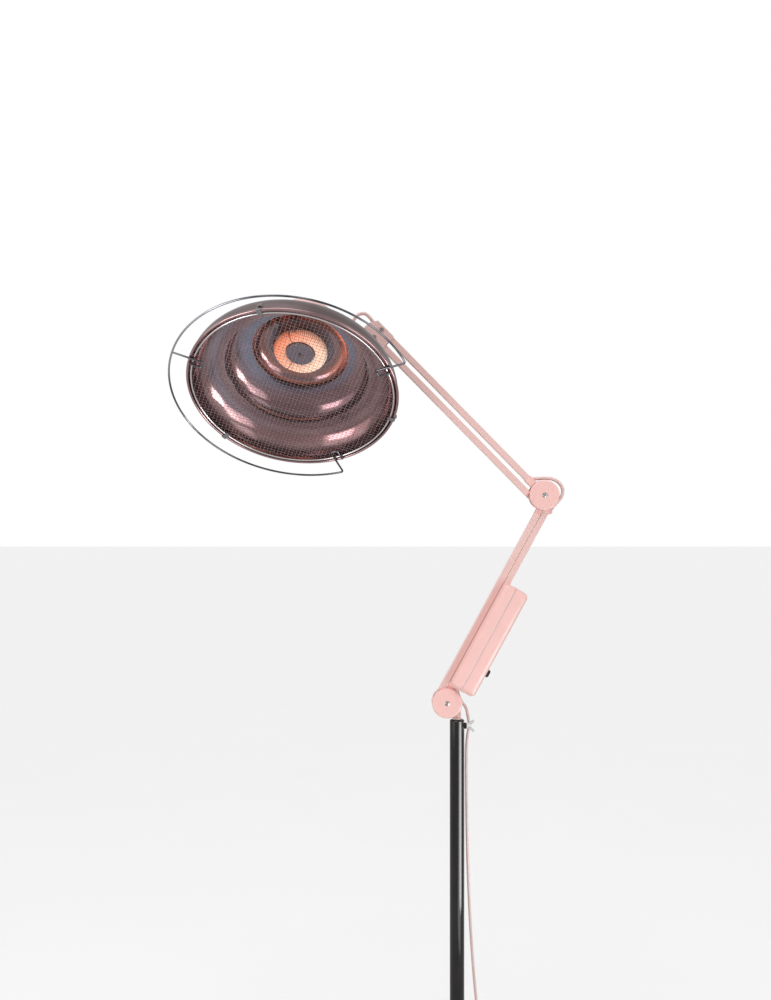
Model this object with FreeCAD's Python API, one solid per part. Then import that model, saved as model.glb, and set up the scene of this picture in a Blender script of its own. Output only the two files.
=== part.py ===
"""Infrared heat therapy lamp: a stepped dish on a jointed swing arm and a floor stand.

Millimetres. The floor is z = 0 and the column stands on the Z axis. The arm moves in the
plane y = 0, seen from -Y with +X to the right, and the dish opens towards -Y and the floor.
"""
import FreeCAD, Part
import math
import os
from FreeCAD import Placement, Rotation, Vector

# ---------------------------------------------------------------- driving dimensions
# Stand
COLUMN_TOP = 893.0
COLUMN_RADIUS = 14.2
COLUMN_WALL = 1.8
CAP_HEIGHT = 7.0
SPIGOT_RADIUS = 6.0
SPIGOT_LENGTH = 70.0
SPIGOT_STUD_RADIUS = 3.0
SPIGOT_STUD_LENGTH = 14.0
FOOT_REACH = 285.0
LEG_COUNT = 5
FIRST_LEG_DEG = 18.0
LEG_WIDTH = 28.0
LEG_TIP_HEIGHT = 18.0
FOOT_RADIUS = 17.0
FOOT_HEIGHT = 16.0
HUB_RADIUS = 31.0
HUB_TOP = 118.0
WING_SCREW_DROP = 6.0
WING_SCREW_RADIUS = 2.9
WING_SCREW_BOSS = 4.4
WING_SCREW_TRAVEL = 1.9
WING_SPREAD = 11.5
WING_THICKNESS = 2.6

# Arm, common to both stages: two bars that stay parallel
BAR_WIDTH = 12.0
BAR_DEPTH = 18.0
BAR_WALL = 1.4
LEVER = 20.3
PIN_RADIUS = 3.0
LUG_LENGTH = 30.0
TONGUE_HALF = 3.9
FORK_RECESS = 1.8
PLATE_THICKNESS = 2.0
COVER_RADIUS = 29.0
COVER_HEIGHT = 6.8
COVER_WALL = 1.8
COVER_ROUND = 2.6
SCREW_HEAD_RADIUS = 4.6
SCREW_RADIUS = 2.1
SCREW_SINK = 1.6
SLEEVE_WALL = 1.0
SLEEVE_LENGTH = 16.0
HEAD_LUG_LENGTH = 19.0

# Lower stage, leaning right from the vertical
SHOULDER_X = -19.9
SHOULDER_RISE = 39.7
LOWER_LEAN_DEG = 28.6
LOWER_LENGTH = 438.5
BAR_REST_GAP = 0.3
SHOULDER_BOSS_RADIUS = 4.6
SHOULDER_BOSS_GAP = 1.33
SHOULDER_PIVOT_DEG = 137.55
ELBOW_LEFT_GAP = 0.1
ELBOW_LEFT_ALONG = -14.0

# Upper stage, rising to the left
UPPER_RISE_DEG = 45.5
UPPER_LENGTH = 450.0

# Control box on the right-hand lower bar, measured along and across that stage
BOX_START = 35.6
BOX_LENGTH = 224.0
BOX_WIDTH = 82.0
BOX_LEFT = -14.8
BOX_RIGHT = 36.7
BOX_SEAM = 8.5
BOX_ROUND = 10.0
BOX_WALL = 2.5
KNOB_ALONG = 87.0
KNOB_RADIUS = 8.0
KNOB_HEIGHT = 9.0
KNOB_GROOVES = 12
SWITCH_ALONG = 210.0
ROCKER_PIVOT_DEPTH = 1.5
ROCKER_PIVOT_RADIUS = 1.2

# Head: neck, cap and stepped dish; depths run from the rim plane to the back
SWIVEL_AHEAD = 57.1
SWIVEL_DROP = 4.8
NECK_CLEARANCE = 32.0
HEAD_YAW_DEG = -8.2
HEAD_DOWN_DEG = 49.6
RIM_RADIUS = 197.0
DISH_DEPTH = 128.5
STEP_RADIUS_SHARES = (0.7, 0.473, 0.323)
STEP_DEPTH_SHARES = (0.43, 0.839, 1.0)
LEDGE_SHARE = 0.45
LEDGE_RISE_SHARE = 0.1
WALL_CHORDS = 4
DISH_WALL = 1.2
BEAD_RADIUS = 2.4
CAP_DEPTH = 64.0
CAP_WALL = 2.0
CAP_CROWN = 7.0
VENT_COUNT = 8
BACK_PLATE_THICKNESS = 1.5
TILT_AXIS_DEPTH = 31.5
NECK_BARREL_RADIUS = 8.0
BOSS_HEIGHT = 4.0
TONGUE_THICK = 12.0
JAW_THICK = 6.0
JAW_ROOT = 12.5
JAW_END = 20.0
SWIVEL_EYE_RADIUS = 11.0
SWIVEL_BOLT_RADIUS = 5.2
BOLT_HEAD_RADIUS = 7.5

# Heater
ELEMENT_SHARE = 0.635
ELEMENT_TUBE = 12.0
ELEMENT_STANDOFF = 19.5
HOLDER_STANDOFF = 28.5

# Guard: mesh in a round frame, three clips, and the ring that is also the handle
MESH_FRAME_INSET = 6.5
MESH_FRAME_WIRE = 1.8
MESH_WIRE = 0.45
MESH_PITCH = 7.0
MESH_ANGLE_DEG = 24.0
CLIP_ANGLES_DEG = (22.7, 142.7, 262.7)
CLIP_WIDTH = 9.0
RING_OFFSET = 34.0
RING_WIRE = 2.0
RING_BEND = 5.0
RING_START_DEG = 73.3
RING_END_DEG = 342.5
MIDDLE_LEG_DEG = 207.5
LEG_REACH = 25.0
HAIRPIN_WIDTH = 14.0

# Cables and mains lead
ARM_CABLE_RADIUS = 3.3
CORD_RADIUS = 2.8
CORD_EXIT_ACROSS = 4.3
CORD_EXIT_Y = 22.0
RELIEF_RADIUS = 4.0
RELIEF_BOSS = 4.0
RELIEF_LENGTH = 22.0
RELIEF_HEADING_DEG = -71.0
COIL_MID_RADIUS = 31.0
COIL_HALF_WIDTH = 8.4
COIL_HEIGHT = 15.4
COIL_LIFT = 0.4
COIL_CENTRE = Vector(112, 168, 0)

# The lead's route from beside the clamp screw down to its coil, and on from it to the plug
LEAD_DROP = [Vector(25.8, 19.4, 884), Vector(21.8, 19.2, 866), Vector(19.8, 19.0, 845),
             Vector(19.5, 19.3, 808), Vector(19.9, 19.8, 742), Vector(21.0, 21.4, 668),
             Vector(23.2, 24.6, 592), Vector(26.8, 30.2, 512), Vector(32.2, 38.6, 430),
             Vector(39.6, 50.0, 346), Vector(49.4, 64.6, 262), Vector(60.4, 81.2, 184),
             Vector(70.5, 97.0, 108), Vector(81.0, 109.0, 54), Vector(97.0, 119.0, 20),
             Vector(116.0, 121.5, 5.6), Vector(134.5, 127.0, 3.4), Vector(146.2, 143.0, 3.4)]
LEAD_TAIL = [Vector(151.4, 185.5, 12.4), Vector(153.4, 196, 11.6), Vector(155.2, 207, 11),
             Vector(156.6, 218, 11)]

# Clearances
RUNNING = 0.06
SLIP = 0.1
LAYER_GAP = 0.3
THIN = 0.05

# Sizes that follow from the ones above
FORK_INNER = TONGUE_HALF + LAYER_GAP
FORK_OUTER = BAR_DEPTH / 2 - FORK_RECESS
PLATE_INNER = BAR_DEPTH / 2 + LAYER_GAP
SHOULDER_HEIGHT = COLUMN_TOP + SHOULDER_RISE
BAR_SPACING = BAR_WIDTH + BAR_REST_GAP
LEVER_ALONG = math.sqrt(LEVER ** 2 - BAR_SPACING ** 2)
SHOULDER_PIVOT_REACH = BAR_WIDTH / 2 + SHOULDER_BOSS_RADIUS + SHOULDER_BOSS_GAP
ELBOW_LEFT_ACROSS = BAR_WIDTH / 2 + ELBOW_LEFT_GAP
STEP_RADII = [RIM_RADIUS * share for share in STEP_RADIUS_SHARES]
STEP_DEPTHS = [DISH_DEPTH * share for share in STEP_DEPTH_SHARES]
CAP_RADIUS = STEP_RADII[-1] + 0.4
TILT_DEPTH = DISH_DEPTH + TILT_AXIS_DEPTH
NECK_REACH = CAP_RADIUS + NECK_CLEARANCE
ELEMENT_RADIUS = STEP_RADII[-1] * ELEMENT_SHARE
ELEMENT_DEPTH = DISH_DEPTH - ELEMENT_STANDOFF
CENTRE_DISC_RADIUS = ELEMENT_RADIUS - ELEMENT_TUBE - 1.4
CENTRE_DISC_DEPTH = DISH_DEPTH - HOLDER_STANDOFF
MESH_FRAME_RADIUS = RIM_RADIUS - MESH_FRAME_INSET
RING_RADIUS = RIM_RADIUS + RING_OFFSET
LEG_INNER_RADIUS = RIM_RADIUS - LEG_REACH

X_AXIS = Vector(1, 0, 0)
Y_AXIS = Vector(0, 1, 0)
Z_AXIS = Vector(0, 0, 1)
ORIGIN = Vector(0, 0, 0)


# ---------------------------------------------------------------- helpers
def frame(origin, x_direction, y_direction):
    """A placement whose local axes lie along the two given directions and their cross."""
    z_direction = x_direction.cross(y_direction)
    return Placement(origin, Rotation(x_direction, y_direction, z_direction, "XYZ"))


def put(shape, place):
    moved = shape.copy()
    moved.Placement = place.multiply(moved.Placement)
    return moved


def export(name, *solids):
    shape = solids[0] if len(solids) == 1 else Part.makeCompound(list(solids))
    shape.exportStep("parts/" + name + ".step")


def cylinder(radius, start, end):
    return Part.makeCylinder(radius, (end - start).Length, start, end - start)


def cone(radius_1, radius_2, start, end):
    return Part.makeCone(radius_1, radius_2, (end - start).Length, start, end - start)


def box(low, high):
    return Part.makeBox(high[0] - low[0], high[1] - low[1], high[2] - low[2], Vector(*low))


def straight_edges(solid, direction):
    """The straight edges of a solid that run along a direction."""
    found = []
    for edge in solid.Edges:
        if isinstance(edge.Curve, Part.Line):
            if abs(edge.tangentAt(edge.FirstParameter).dot(direction)) > 0.99:
                found.append(edge)
    return found


def rounded_box(low, high, radius, direction):
    solid = box(low, high)
    return solid.makeFillet(radius, straight_edges(solid, direction))


def pillow(low, high, radius):
    """A box with every edge rounded."""
    solid = box(low, high)
    return solid.makeFillet(radius, solid.Edges)


def line(start, end):
    return Part.LineSegment(start, end).toShape()


def arc(start, middle, end):
    return Part.Arc(start, middle, end).toShape()


def spun(points):
    """A closed outline of (radius, height) points turned about Z."""
    corners = [Vector(r, 0, h) for r, h in points]
    outline = Part.makePolygon(corners + [corners[0]])
    return Part.Face(outline).revolve(ORIGIN, Z_AXIS, 360)


def prism(points, low, high):
    """A closed outline of (x, y) points raised from z = low to z = high."""
    corners = [Vector(x, y, low) for x, y in points]
    outline = Part.makePolygon(corners + [corners[0]])
    return Part.Face(outline).extrude(Vector(0, 0, high - low))


def ellipse_points(centre, half_x, half_y, start_deg, end_deg, count):
    """Evenly spaced (x, y) points along a stretch of an ellipse, ends included."""
    points = []
    for index in range(count + 1):
        angle = math.radians(start_deg + (end_deg - start_deg) * index / count)
        points.append((centre[0] + half_x * math.cos(angle),
                       centre[1] + half_y * math.sin(angle)))
    return points


def both_sides(solid):
    """A solid and its mirror image across the local z = 0 plane."""
    return [solid, solid.mirror(ORIGIN, Z_AXIS)]


def bent_path(points, ratio=0.45):
    """Straight runs joined by tangent arcs, each as large as its two runs allow."""
    edges = []
    start = points[0]
    radii = []
    for before, corner, after in zip(points, points[1:], points[2:]):
        back = (before - corner).normalize()
        ahead = (after - corner).normalize()
        shorter = min((before - corner).Length, (after - corner).Length)
        setback = ratio * shorter
        half_turn = (math.pi - back.getAngle(ahead)) / 2
        radius = setback / math.tan(half_turn)
        radii.append(radius)
        enter = corner + back * setback
        leave = corner + ahead * setback
        inward = (back + ahead).normalize()
        middle = corner + inward * (radius / math.cos(half_turn) - radius)
        edges.append(line(start, enter))
        edges.append(arc(enter, middle, leave))
        start = leave
    edges.append(line(start, points[-1]))
    return Part.Wire(edges), radii


def rod(points, radius, name=None, ratio=0.45):
    """A round wire, cable or cord along a bent path; a named one prints its bends."""
    path, radii = bent_path(points, ratio)
    direction = points[1] - points[0]
    circle = Part.Wire(Part.makeCircle(radius, points[0], direction))
    solid = path.makePipeShell([circle], True, False)
    if name:
        expected = math.pi * radius * radius * path.Length
        print(name, "length", round(path.Length, 1), "radii", [round(r, 1) for r in radii],
              "volume ratio", round(solid.Volume / expected, 4))
    return solid


# ---------------------------------------------------------------- arm geometry
def lower_directions():
    lean = math.radians(LOWER_LEAN_DEG)
    along = Vector(math.sin(lean), 0, math.cos(lean))
    across = Vector(math.cos(lean), 0, -math.sin(lean))
    return along, across


def upper_directions():
    rise = math.radians(UPPER_RISE_DEG)
    along = Vector(-math.cos(rise), 0, math.sin(rise))
    across = Vector(-math.sin(rise), 0, -math.cos(rise))
    return along, across


LOWER_ALONG, LOWER_ACROSS = lower_directions()
UPPER_ALONG, UPPER_ACROSS = upper_directions()
SHOULDER = Vector(SHOULDER_X, 0, SHOULDER_HEIGHT)


def from_shoulder(along, across, y=0.0):
    return SHOULDER + LOWER_ALONG * along + LOWER_ACROSS * across + Y_AXIS * y


RIGHT_PIVOT_ALONG = SHOULDER_PIVOT_REACH * math.sin(math.radians(SHOULDER_PIVOT_DEG))
RIGHT_PIVOT_ACROSS = SHOULDER_PIVOT_REACH * math.cos(math.radians(SHOULDER_PIVOT_DEG))
RIGHT_PIVOT = from_shoulder(RIGHT_PIVOT_ALONG, RIGHT_PIVOT_ACROSS)
LEFT_PIVOT = RIGHT_PIVOT - LOWER_ACROSS * BAR_SPACING - LOWER_ALONG * LEVER_ALONG
ELBOW_LEFT = LEFT_PIVOT + LOWER_ALONG * LOWER_LENGTH
ELBOW_RIGHT = RIGHT_PIVOT + LOWER_ALONG * LOWER_LENGTH
ELBOW = ELBOW_LEFT - LOWER_ACROSS * ELBOW_LEFT_ACROSS - LOWER_ALONG * ELBOW_LEFT_ALONG
ELBOW_BOTTOM = ELBOW + UPPER_ACROSS * LEVER
HEAD_TOP = ELBOW + UPPER_ALONG * UPPER_LENGTH
HEAD_BOTTOM = ELBOW_BOTTOM + UPPER_ALONG * UPPER_LENGTH


def from_elbow(along, across, y=0.0):
    return ELBOW + UPPER_ALONG * along + UPPER_ACROSS * across + Y_AXIS * y


def bar_tube(start, end):
    """The hollow bar between two distances from its first pivot, in bar coordinates."""
    half_w = BAR_WIDTH / 2
    half_d = BAR_DEPTH / 2
    outside = rounded_box((start, -half_w, -half_d), (end, half_w, half_d), 1.6, X_AXIS)
    inner_w = half_w - BAR_WALL
    inner_d = half_d - BAR_WALL
    return outside.cut(box((start - 1, -inner_w, -inner_d), (end + 1, inner_w, inner_d)))


def end_fitting(layers, lug_length, extra=0.0, collar_length=0.0):
    """A moulded bar end with its pivot at the origin and the bar starting at +x.

    layers lists the (low, high) depth ranges that the pivot lug fills. extra widens the
    fitting beyond the bar, and a collar grips the bar from outside.
    """
    half_w = BAR_WIDTH / 2 + extra
    half_d = BAR_DEPTH / 2
    block_start = lug_length - 6.0
    fitting = rounded_box((block_start, -half_w, -half_d), (lug_length, half_w, half_d), 1.6,
                          X_AXIS)
    for low, high in layers:
        eye = Part.makeCylinder(half_w, high - low, Vector(0, 0, low))
        web = box((0, -half_w, low), (block_start + 1, half_w, high))
        fitting = fitting.fuse([eye, web])
    inner_w = BAR_WIDTH / 2 - BAR_WALL - SLIP
    inner_d = half_d - BAR_WALL - SLIP
    plug_part = box((lug_length - 1, -inner_w, -inner_d), (lug_length + 12, inner_w, inner_d))
    fitting = fitting.fuse(plug_part)
    if collar_length:
        outer_d = half_d + extra
        collar = rounded_box((lug_length - THIN, -half_w, -outer_d),
                             (lug_length + collar_length, half_w, outer_d), 1.6, X_AXIS)
        bore_w = BAR_WIDTH / 2 + THIN
        bore_d = half_d + THIN
        collar = collar.cut(box((lug_length, -bore_w, -bore_d),
                                (lug_length + collar_length + 1, bore_w, bore_d)))
        shoulder = rounded_box((lug_length - 1, -half_w, -half_d), (lug_length, half_w, half_d),
                               1.6, X_AXIS)
        fitting = fitting.fuse([collar, shoulder])
    pivot = Part.makeCylinder(PIN_RADIUS + RUNNING, 2 * BAR_DEPTH, Vector(0, 0, -BAR_DEPTH))
    wire_way = Part.makeCylinder(3.4, lug_length, Vector(lug_length - 8, 0, 0), X_AXIS)
    return fitting.cut(pivot).cut(wire_way).removeSplitter()


def facing_back(shape, length):
    """Turns a bar end to point the other way along the bar, at a given length."""
    turned = shape.copy()
    turned.rotate(ORIGIN, Z_AXIS, 180)
    turned.translate(Vector(length, 0, 0))
    return turned


def pin(centre, half_length, head_radius=None, head=1.6):
    """A pivot pin across the arm plane, optionally with a head at each end."""
    reach = Y_AXIS * half_length
    shaft = cylinder(PIN_RADIUS, centre - reach, centre + reach)
    if head_radius:
        for side in (-1, 1):
            end = centre + Y_AXIS * (side * half_length)
            disc = cylinder(head_radius, end - Y_AXIS * (side * head), end)
            shaft = shaft.fuse(disc)
    return shaft.removeSplitter()


def pin_way(centre, half_length):
    """The hole that holds a pin fast."""
    reach = Y_AXIS * half_length
    return cylinder(PIN_RADIUS + 0.02, centre - reach, centre + reach)


def round_cover(centre, side):
    """A domed cover over a knuckle: side is -1 for the front and 1 for the back."""
    recess_radius = COVER_RADIUS - COVER_WALL
    recess_depth = PLATE_THICKNESS + SLIP
    seat = COVER_HEIGHT - SCREW_SINK
    crown = ellipse_points((COVER_RADIUS - COVER_ROUND, COVER_HEIGHT - COVER_ROUND),
                           COVER_ROUND, COVER_ROUND, 0, 90, 3)
    profile = [(recess_radius, 0), (COVER_RADIUS, 0)] + crown
    profile += [(SCREW_HEAD_RADIUS + 0.6, COVER_HEIGHT), (SCREW_HEAD_RADIUS + 0.6, seat),
                (SCREW_RADIUS + SLIP, seat), (SCREW_RADIUS + SLIP, recess_depth),
                (recess_radius, recess_depth)]
    cover = spun(profile)
    cover.translate(Vector(0, 0, PLATE_INNER))
    return put(cover, Placement(centre, cover_rotation(side)))


def cover_rotation(side):
    """Local z points out of the knuckle on the given side."""
    return Rotation(X_AXIS, Vector(0, 0, -side), Vector(0, side, 0), "XYZ")


def cover_screw(centre, side, shank):
    """A round-headed screw lying in a cover's seat, with its shank into the knuckle."""
    screw = spun([(0, -shank), (SCREW_RADIUS, -shank), (SCREW_RADIUS, 0),
                  (SCREW_HEAD_RADIUS, 0), (SCREW_HEAD_RADIUS, 1.3),
                  (SCREW_HEAD_RADIUS - 0.9, 2.2), (0, 2.2)])
    screw.translate(Vector(0, 0, PLATE_INNER + COVER_HEIGHT - SCREW_SINK))
    return put(screw, Placement(centre, cover_rotation(side)))


# ---------------------------------------------------------------- stand
def make_stand():
    hub = spun([(0, 40), (HUB_RADIUS, 40), (HUB_RADIUS, 84), (HUB_RADIUS - 3, 88),
                (COLUMN_RADIUS + 7, 92), (COLUMN_RADIUS + 5, HUB_TOP - 2),
                (COLUMN_RADIUS + 3, HUB_TOP), (0, HUB_TOP)])
    socket = Part.makeCylinder(COLUMN_RADIUS + THIN, HUB_TOP, Vector(0, 0, 60))
    hub = hub.cut(socket)

    root = HUB_RADIUS + THIN
    tip = FOOT_REACH + FOOT_RADIUS - 2
    under = FOOT_HEIGHT
    side_view = [(root, 42), (root, 80), (root + 34, 73),
                 (tip - 12, under + LEG_TIP_HEIGHT), (tip, under + LEG_TIP_HEIGHT - 8),
                 (tip, under), (tip - 2 * FOOT_RADIUS - 6, under), (root + 40, 44)]
    corners = [Vector(x, -LEG_WIDTH / 2, z) for x, z in side_view]
    outline = Part.Face(Part.makePolygon(corners + [corners[0]]))
    leg = outline.extrude(Vector(0, LEG_WIDTH, 0))
    top_edges = [e for e in leg.Edges if e.Length > 100 and e.CenterOfMass.z > 45]
    leg = leg.makeFillet(5, top_edges)
    leg = leg.cut(Part.makeCylinder(HUB_RADIUS + THIN, 200))

    foot = spun([(0, 0), (FOOT_RADIUS - 2, 0), (FOOT_RADIUS, 2), (FOOT_RADIUS, 8),
                 (FOOT_RADIUS - 5, 12), (FOOT_RADIUS - 5, FOOT_HEIGHT), (0, FOOT_HEIGHT)])
    foot.translate(Vector(FOOT_REACH, 0, 0))
    legs = []
    feet = []
    for index in range(LEG_COUNT):
        turn = Placement(ORIGIN, Rotation(Z_AXIS, FIRST_LEG_DEG + index * 360 / LEG_COUNT))
        legs.append(put(leg, turn))
        feet.append(put(foot, turn))

    column = Part.makeCylinder(COLUMN_RADIUS, COLUMN_TOP - 60, Vector(0, 0, 60))
    column = column.cut(Part.makeCylinder(COLUMN_RADIUS - COLUMN_WALL, COLUMN_TOP))
    screw_height = COLUMN_TOP - WING_SCREW_DROP
    boss = Part.makeCylinder(6, WING_SCREW_BOSS + COLUMN_WALL / 2,
                             Vector(COLUMN_RADIUS - COLUMN_WALL / 2, 0, screw_height), X_AXIS)
    screw_way = Part.makeCylinder(WING_SCREW_RADIUS + RUNNING, 2 * COLUMN_RADIUS,
                                  Vector(0, 0, screw_height), X_AXIS)
    column = column.fuse(boss).cut(screw_way)

    sleeve = COLUMN_RADIUS - COLUMN_WALL - THIN
    top = COLUMN_TOP + CAP_HEIGHT
    cap = spun([(0, COLUMN_TOP - 50), (sleeve, COLUMN_TOP - 50), (sleeve, COLUMN_TOP),
                (COLUMN_RADIUS, COLUMN_TOP), (COLUMN_RADIUS, top - 3),
                (COLUMN_RADIUS - 1.2, top - 1), (COLUMN_RADIUS - 3.5, top), (0, top)])
    spigot_way = Part.makeCylinder(SPIGOT_RADIUS + RUNNING, COLUMN_TOP + 20)
    cap = cap.cut(spigot_way).cut(screw_way)

    export("base_hub", hub)
    export("base_legs", *legs)
    export("base_feet", *feet)
    export("column", column)
    export("column_cap", cap)
    export("wing_screw", wing_screw(screw_height))


def wing_screw(height):
    """The clamp screw: a shank towards the spigot and two wings that spread in a V."""
    tip = SPIGOT_RADIUS + LAYER_GAP
    head = COLUMN_RADIUS + WING_SCREW_BOSS + WING_SCREW_TRAVEL
    collar = Part.makeCylinder(WING_SCREW_RADIUS + 1.3, 5, Vector(head, 0, 0), X_AXIS)
    shank = Part.makeCylinder(WING_SCREW_RADIUS, head + 5 - tip, Vector(tip, 0, 0), X_AXIS)
    root = head + 0.5
    spread = WING_SPREAD
    wing = prism([(root, 0), (root + 4.5, 0), (root + 13, spread - 3), (root + 12, spread),
                  (root + 9.2, spread), (root, 4)], -WING_THICKNESS / 2, WING_THICKNESS / 2)
    wing = wing.makeFillet(0.6, straight_edges(wing, Z_AXIS))
    wings = [wing, wing.mirror(ORIGIN, Y_AXIS)]
    screw = shank.fuse([collar] + wings).removeSplitter()
    screw.rotate(ORIGIN, X_AXIS, 90)
    screw.translate(Vector(0, 0, height))
    return screw


# ---------------------------------------------------------------- shoulder
def make_shoulder():
    """A tongue with two pivot lobes on a stem; its pressed-in spigot turns in the column."""
    half = TONGUE_HALF
    tongue = cylinder(10, SHOULDER - Y_AXIS * half, SHOULDER + Y_AXIS * half)
    lobes = [cylinder(7.5, pivot - Y_AXIS * half, pivot + Y_AXIS * half)
             for pivot in (LEFT_PIVOT, RIGHT_PIVOT)]
    web_corners = [SHOULDER + Vector(0, 0, -9.6), LEFT_PIVOT + Vector(-3, 0, -6.8),
                   LEFT_PIVOT + Vector(-3, 0, 6.8), RIGHT_PIVOT + Vector(0, 0, 7.4),
                   RIGHT_PIVOT + Vector(7, 0, 0), SHOULDER + Vector(9.6, 0, 0)]
    web_corners = [corner - Y_AXIS * half for corner in web_corners]
    web = Part.Face(Part.makePolygon(web_corners + [web_corners[0]]))
    web = web.extrude(Y_AXIS * (2 * half))

    flange_bottom = COLUMN_TOP + CAP_HEIGHT + THIN
    stem_corners = [Vector(-SPIGOT_RADIUS, 0, flange_bottom + 1),
                    Vector(SPIGOT_RADIUS + 1.5, 0, flange_bottom + 1),
                    Vector(SPIGOT_RADIUS + 1.5, 0, SHOULDER_HEIGHT - 8),
                    SHOULDER + Vector(22, 0, 0), SHOULDER + Vector(6, 0, 7),
                    SHOULDER + Vector(-6, 0, -7), SHOULDER + Vector(4, 0, -24)]
    stem_corners = [corner - Y_AXIS * half for corner in stem_corners]
    stem = Part.Face(Part.makePolygon(stem_corners + [stem_corners[0]]))
    stem = stem.extrude(Y_AXIS * (2 * half))
    flange = Part.makeCylinder(8.4, 2.6, Vector(0, 0, flange_bottom))
    spigot_top = flange_bottom - THIN / 2
    stud_top = spigot_top + SPIGOT_STUD_LENGTH
    spigot_end = spigot_top - SPIGOT_LENGTH
    spigot = spun([(0, spigot_end), (SPIGOT_RADIUS - 1, spigot_end),
                   (SPIGOT_RADIUS, spigot_end + 1), (SPIGOT_RADIUS, spigot_top),
                   (SPIGOT_STUD_RADIUS, spigot_top), (SPIGOT_STUD_RADIUS, stud_top),
                   (0, stud_top)])
    stud_way = Part.makeCylinder(SPIGOT_STUD_RADIUS + THIN / 2, SPIGOT_STUD_LENGTH + SLIP,
                                 Vector(0, 0, spigot_top))
    boss_reach = Y_AXIS * (PLATE_INNER + PLATE_THICKNESS)
    boss = cylinder(SHOULDER_BOSS_RADIUS, SHOULDER - boss_reach, SHOULDER + boss_reach)
    bracket = tongue.fuse(lobes + [web, stem, flange, boss]).cut(stud_way)
    for pivot in (LEFT_PIVOT, RIGHT_PIVOT):
        bracket = bracket.cut(pin_way(pivot, TONGUE_HALF + 1))
    screw_way = cylinder(SCREW_RADIUS + SLIP, SHOULDER - Y_AXIS * 15, SHOULDER + Y_AXIS * 15)
    bracket = bracket.cut(screw_way)
    export("shoulder_bracket", bracket.removeSplitter())
    export("shoulder_spigot", spigot)
    head_at = FORK_OUTER + LAYER_GAP + 1.6
    export("shoulder_pins", pin(LEFT_PIVOT, head_at, 4.6), pin(RIGHT_PIVOT, head_at, 4.6))
    export("shoulder_cover_front", round_cover(SHOULDER, -1))
    export("shoulder_cover_rear", round_cover(SHOULDER, 1))
    export("shoulder_cover_screws", cover_screw(SHOULDER, -1, 9), cover_screw(SHOULDER, 1, 9))


# ---------------------------------------------------------------- arm bars
def fork_layers():
    return [(FORK_INNER, FORK_OUTER), (-FORK_OUTER, -FORK_INNER)]


def make_lower_bars():
    fork = end_fitting(fork_layers(), LUG_LENGTH)
    far_fork = facing_back(fork, LOWER_LENGTH)
    tube = bar_tube(LUG_LENGTH + THIN, LOWER_LENGTH - LUG_LENGTH - THIN)
    for name, pivot in (("left", LEFT_PIVOT), ("right", RIGHT_PIVOT)):
        place = frame(pivot, LOWER_ALONG, LOWER_ACROSS)
        far = put(far_fork, place)
        if name == "right":
            far = far.fuse(put(cable_inlet(), place)).cut(cable_seat(elbow_route()[::-1]))
            far = far.removeSplitter()
        export("lower_bar_" + name, put(tube, place))
        export("lower_bar_" + name + "_ends", put(fork, place), far)


def cable_inlet():
    """The snout on the right bar's upper end, which the elbow cable runs into."""
    start = LOWER_LENGTH - LUG_LENGTH + 0.1
    face = BAR_WIDTH / 2
    points = [(start, face - 0.5), (start + 7.4, face - 0.5), (start + 7.4, face + 5.6),
              (start + 2.4, face + 5.6), (start, face + 3)]
    return prism(points, -4.6, 4.6)


def make_upper_bars():
    tongue = [(-TONGUE_HALF, TONGUE_HALF)]
    full = [(-BAR_DEPTH / 2, BAR_DEPTH / 2)]
    tube = bar_tube(LUG_LENGTH + THIN, UPPER_LENGTH - HEAD_LUG_LENGTH - THIN)

    top_place = frame(ELBOW, UPPER_ALONG, UPPER_ACROSS)
    near = end_fitting(tongue, LUG_LENGTH, SLEEVE_WALL, SLEEVE_LENGTH)
    far = end_fitting(full, HEAD_LUG_LENGTH, SLEEVE_WALL)
    elbow_seat = cable_seat(elbow_route())
    head_seat = cable_seat(head_route())
    export("upper_bar_top", put(tube, top_place).cut(elbow_seat))
    export("upper_bar_top_ends", put(near, top_place).cut(elbow_seat),
           put(facing_back(far, UPPER_LENGTH), top_place).cut(head_seat))

    bottom_place = frame(ELBOW_BOTTOM, UPPER_ALONG, UPPER_ACROSS)
    near = end_fitting(tongue, LUG_LENGTH)
    far = end_fitting(full, HEAD_LUG_LENGTH)
    rivet_at = Vector(LUG_LENGTH + 7.8, -BAR_WIDTH / 2 + BAR_WALL, 0)
    rivet_way = cylinder(1.6, rivet_at + Y_AXIS, rivet_at - Y_AXIS * 3)
    export("upper_bar_bottom", put(tube.cut(rivet_way), bottom_place))
    export("upper_bar_bottom_ends", put(near.cut(rivet_way), bottom_place),
           put(facing_back(far, UPPER_LENGTH), bottom_place))

    # the spring lies in the lower bar; its rivet shows between the bars
    spring = Part.makeCylinder(3.6, 110, Vector(LUG_LENGTH + 13, 0, 0), X_AXIS)
    spring = spring.cut(Part.makeCylinder(2.5, 120, Vector(LUG_LENGTH + 12, 0, 0), X_AXIS))
    face = -BAR_WIDTH / 2 - THIN
    rivet = cylinder(1.5, rivet_at + Y_AXIS * 0.5, Vector(rivet_at.x, face, 0))
    head = box((rivet_at.x - 2.6, face - 0.55, -1.8), (rivet_at.x + 2.6, face, 1.8))
    head = head.makeFillet(1.2, straight_edges(head, Y_AXIS))
    export("balance_spring", put(spring, bottom_place), put(rivet.fuse(head), bottom_place))


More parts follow.
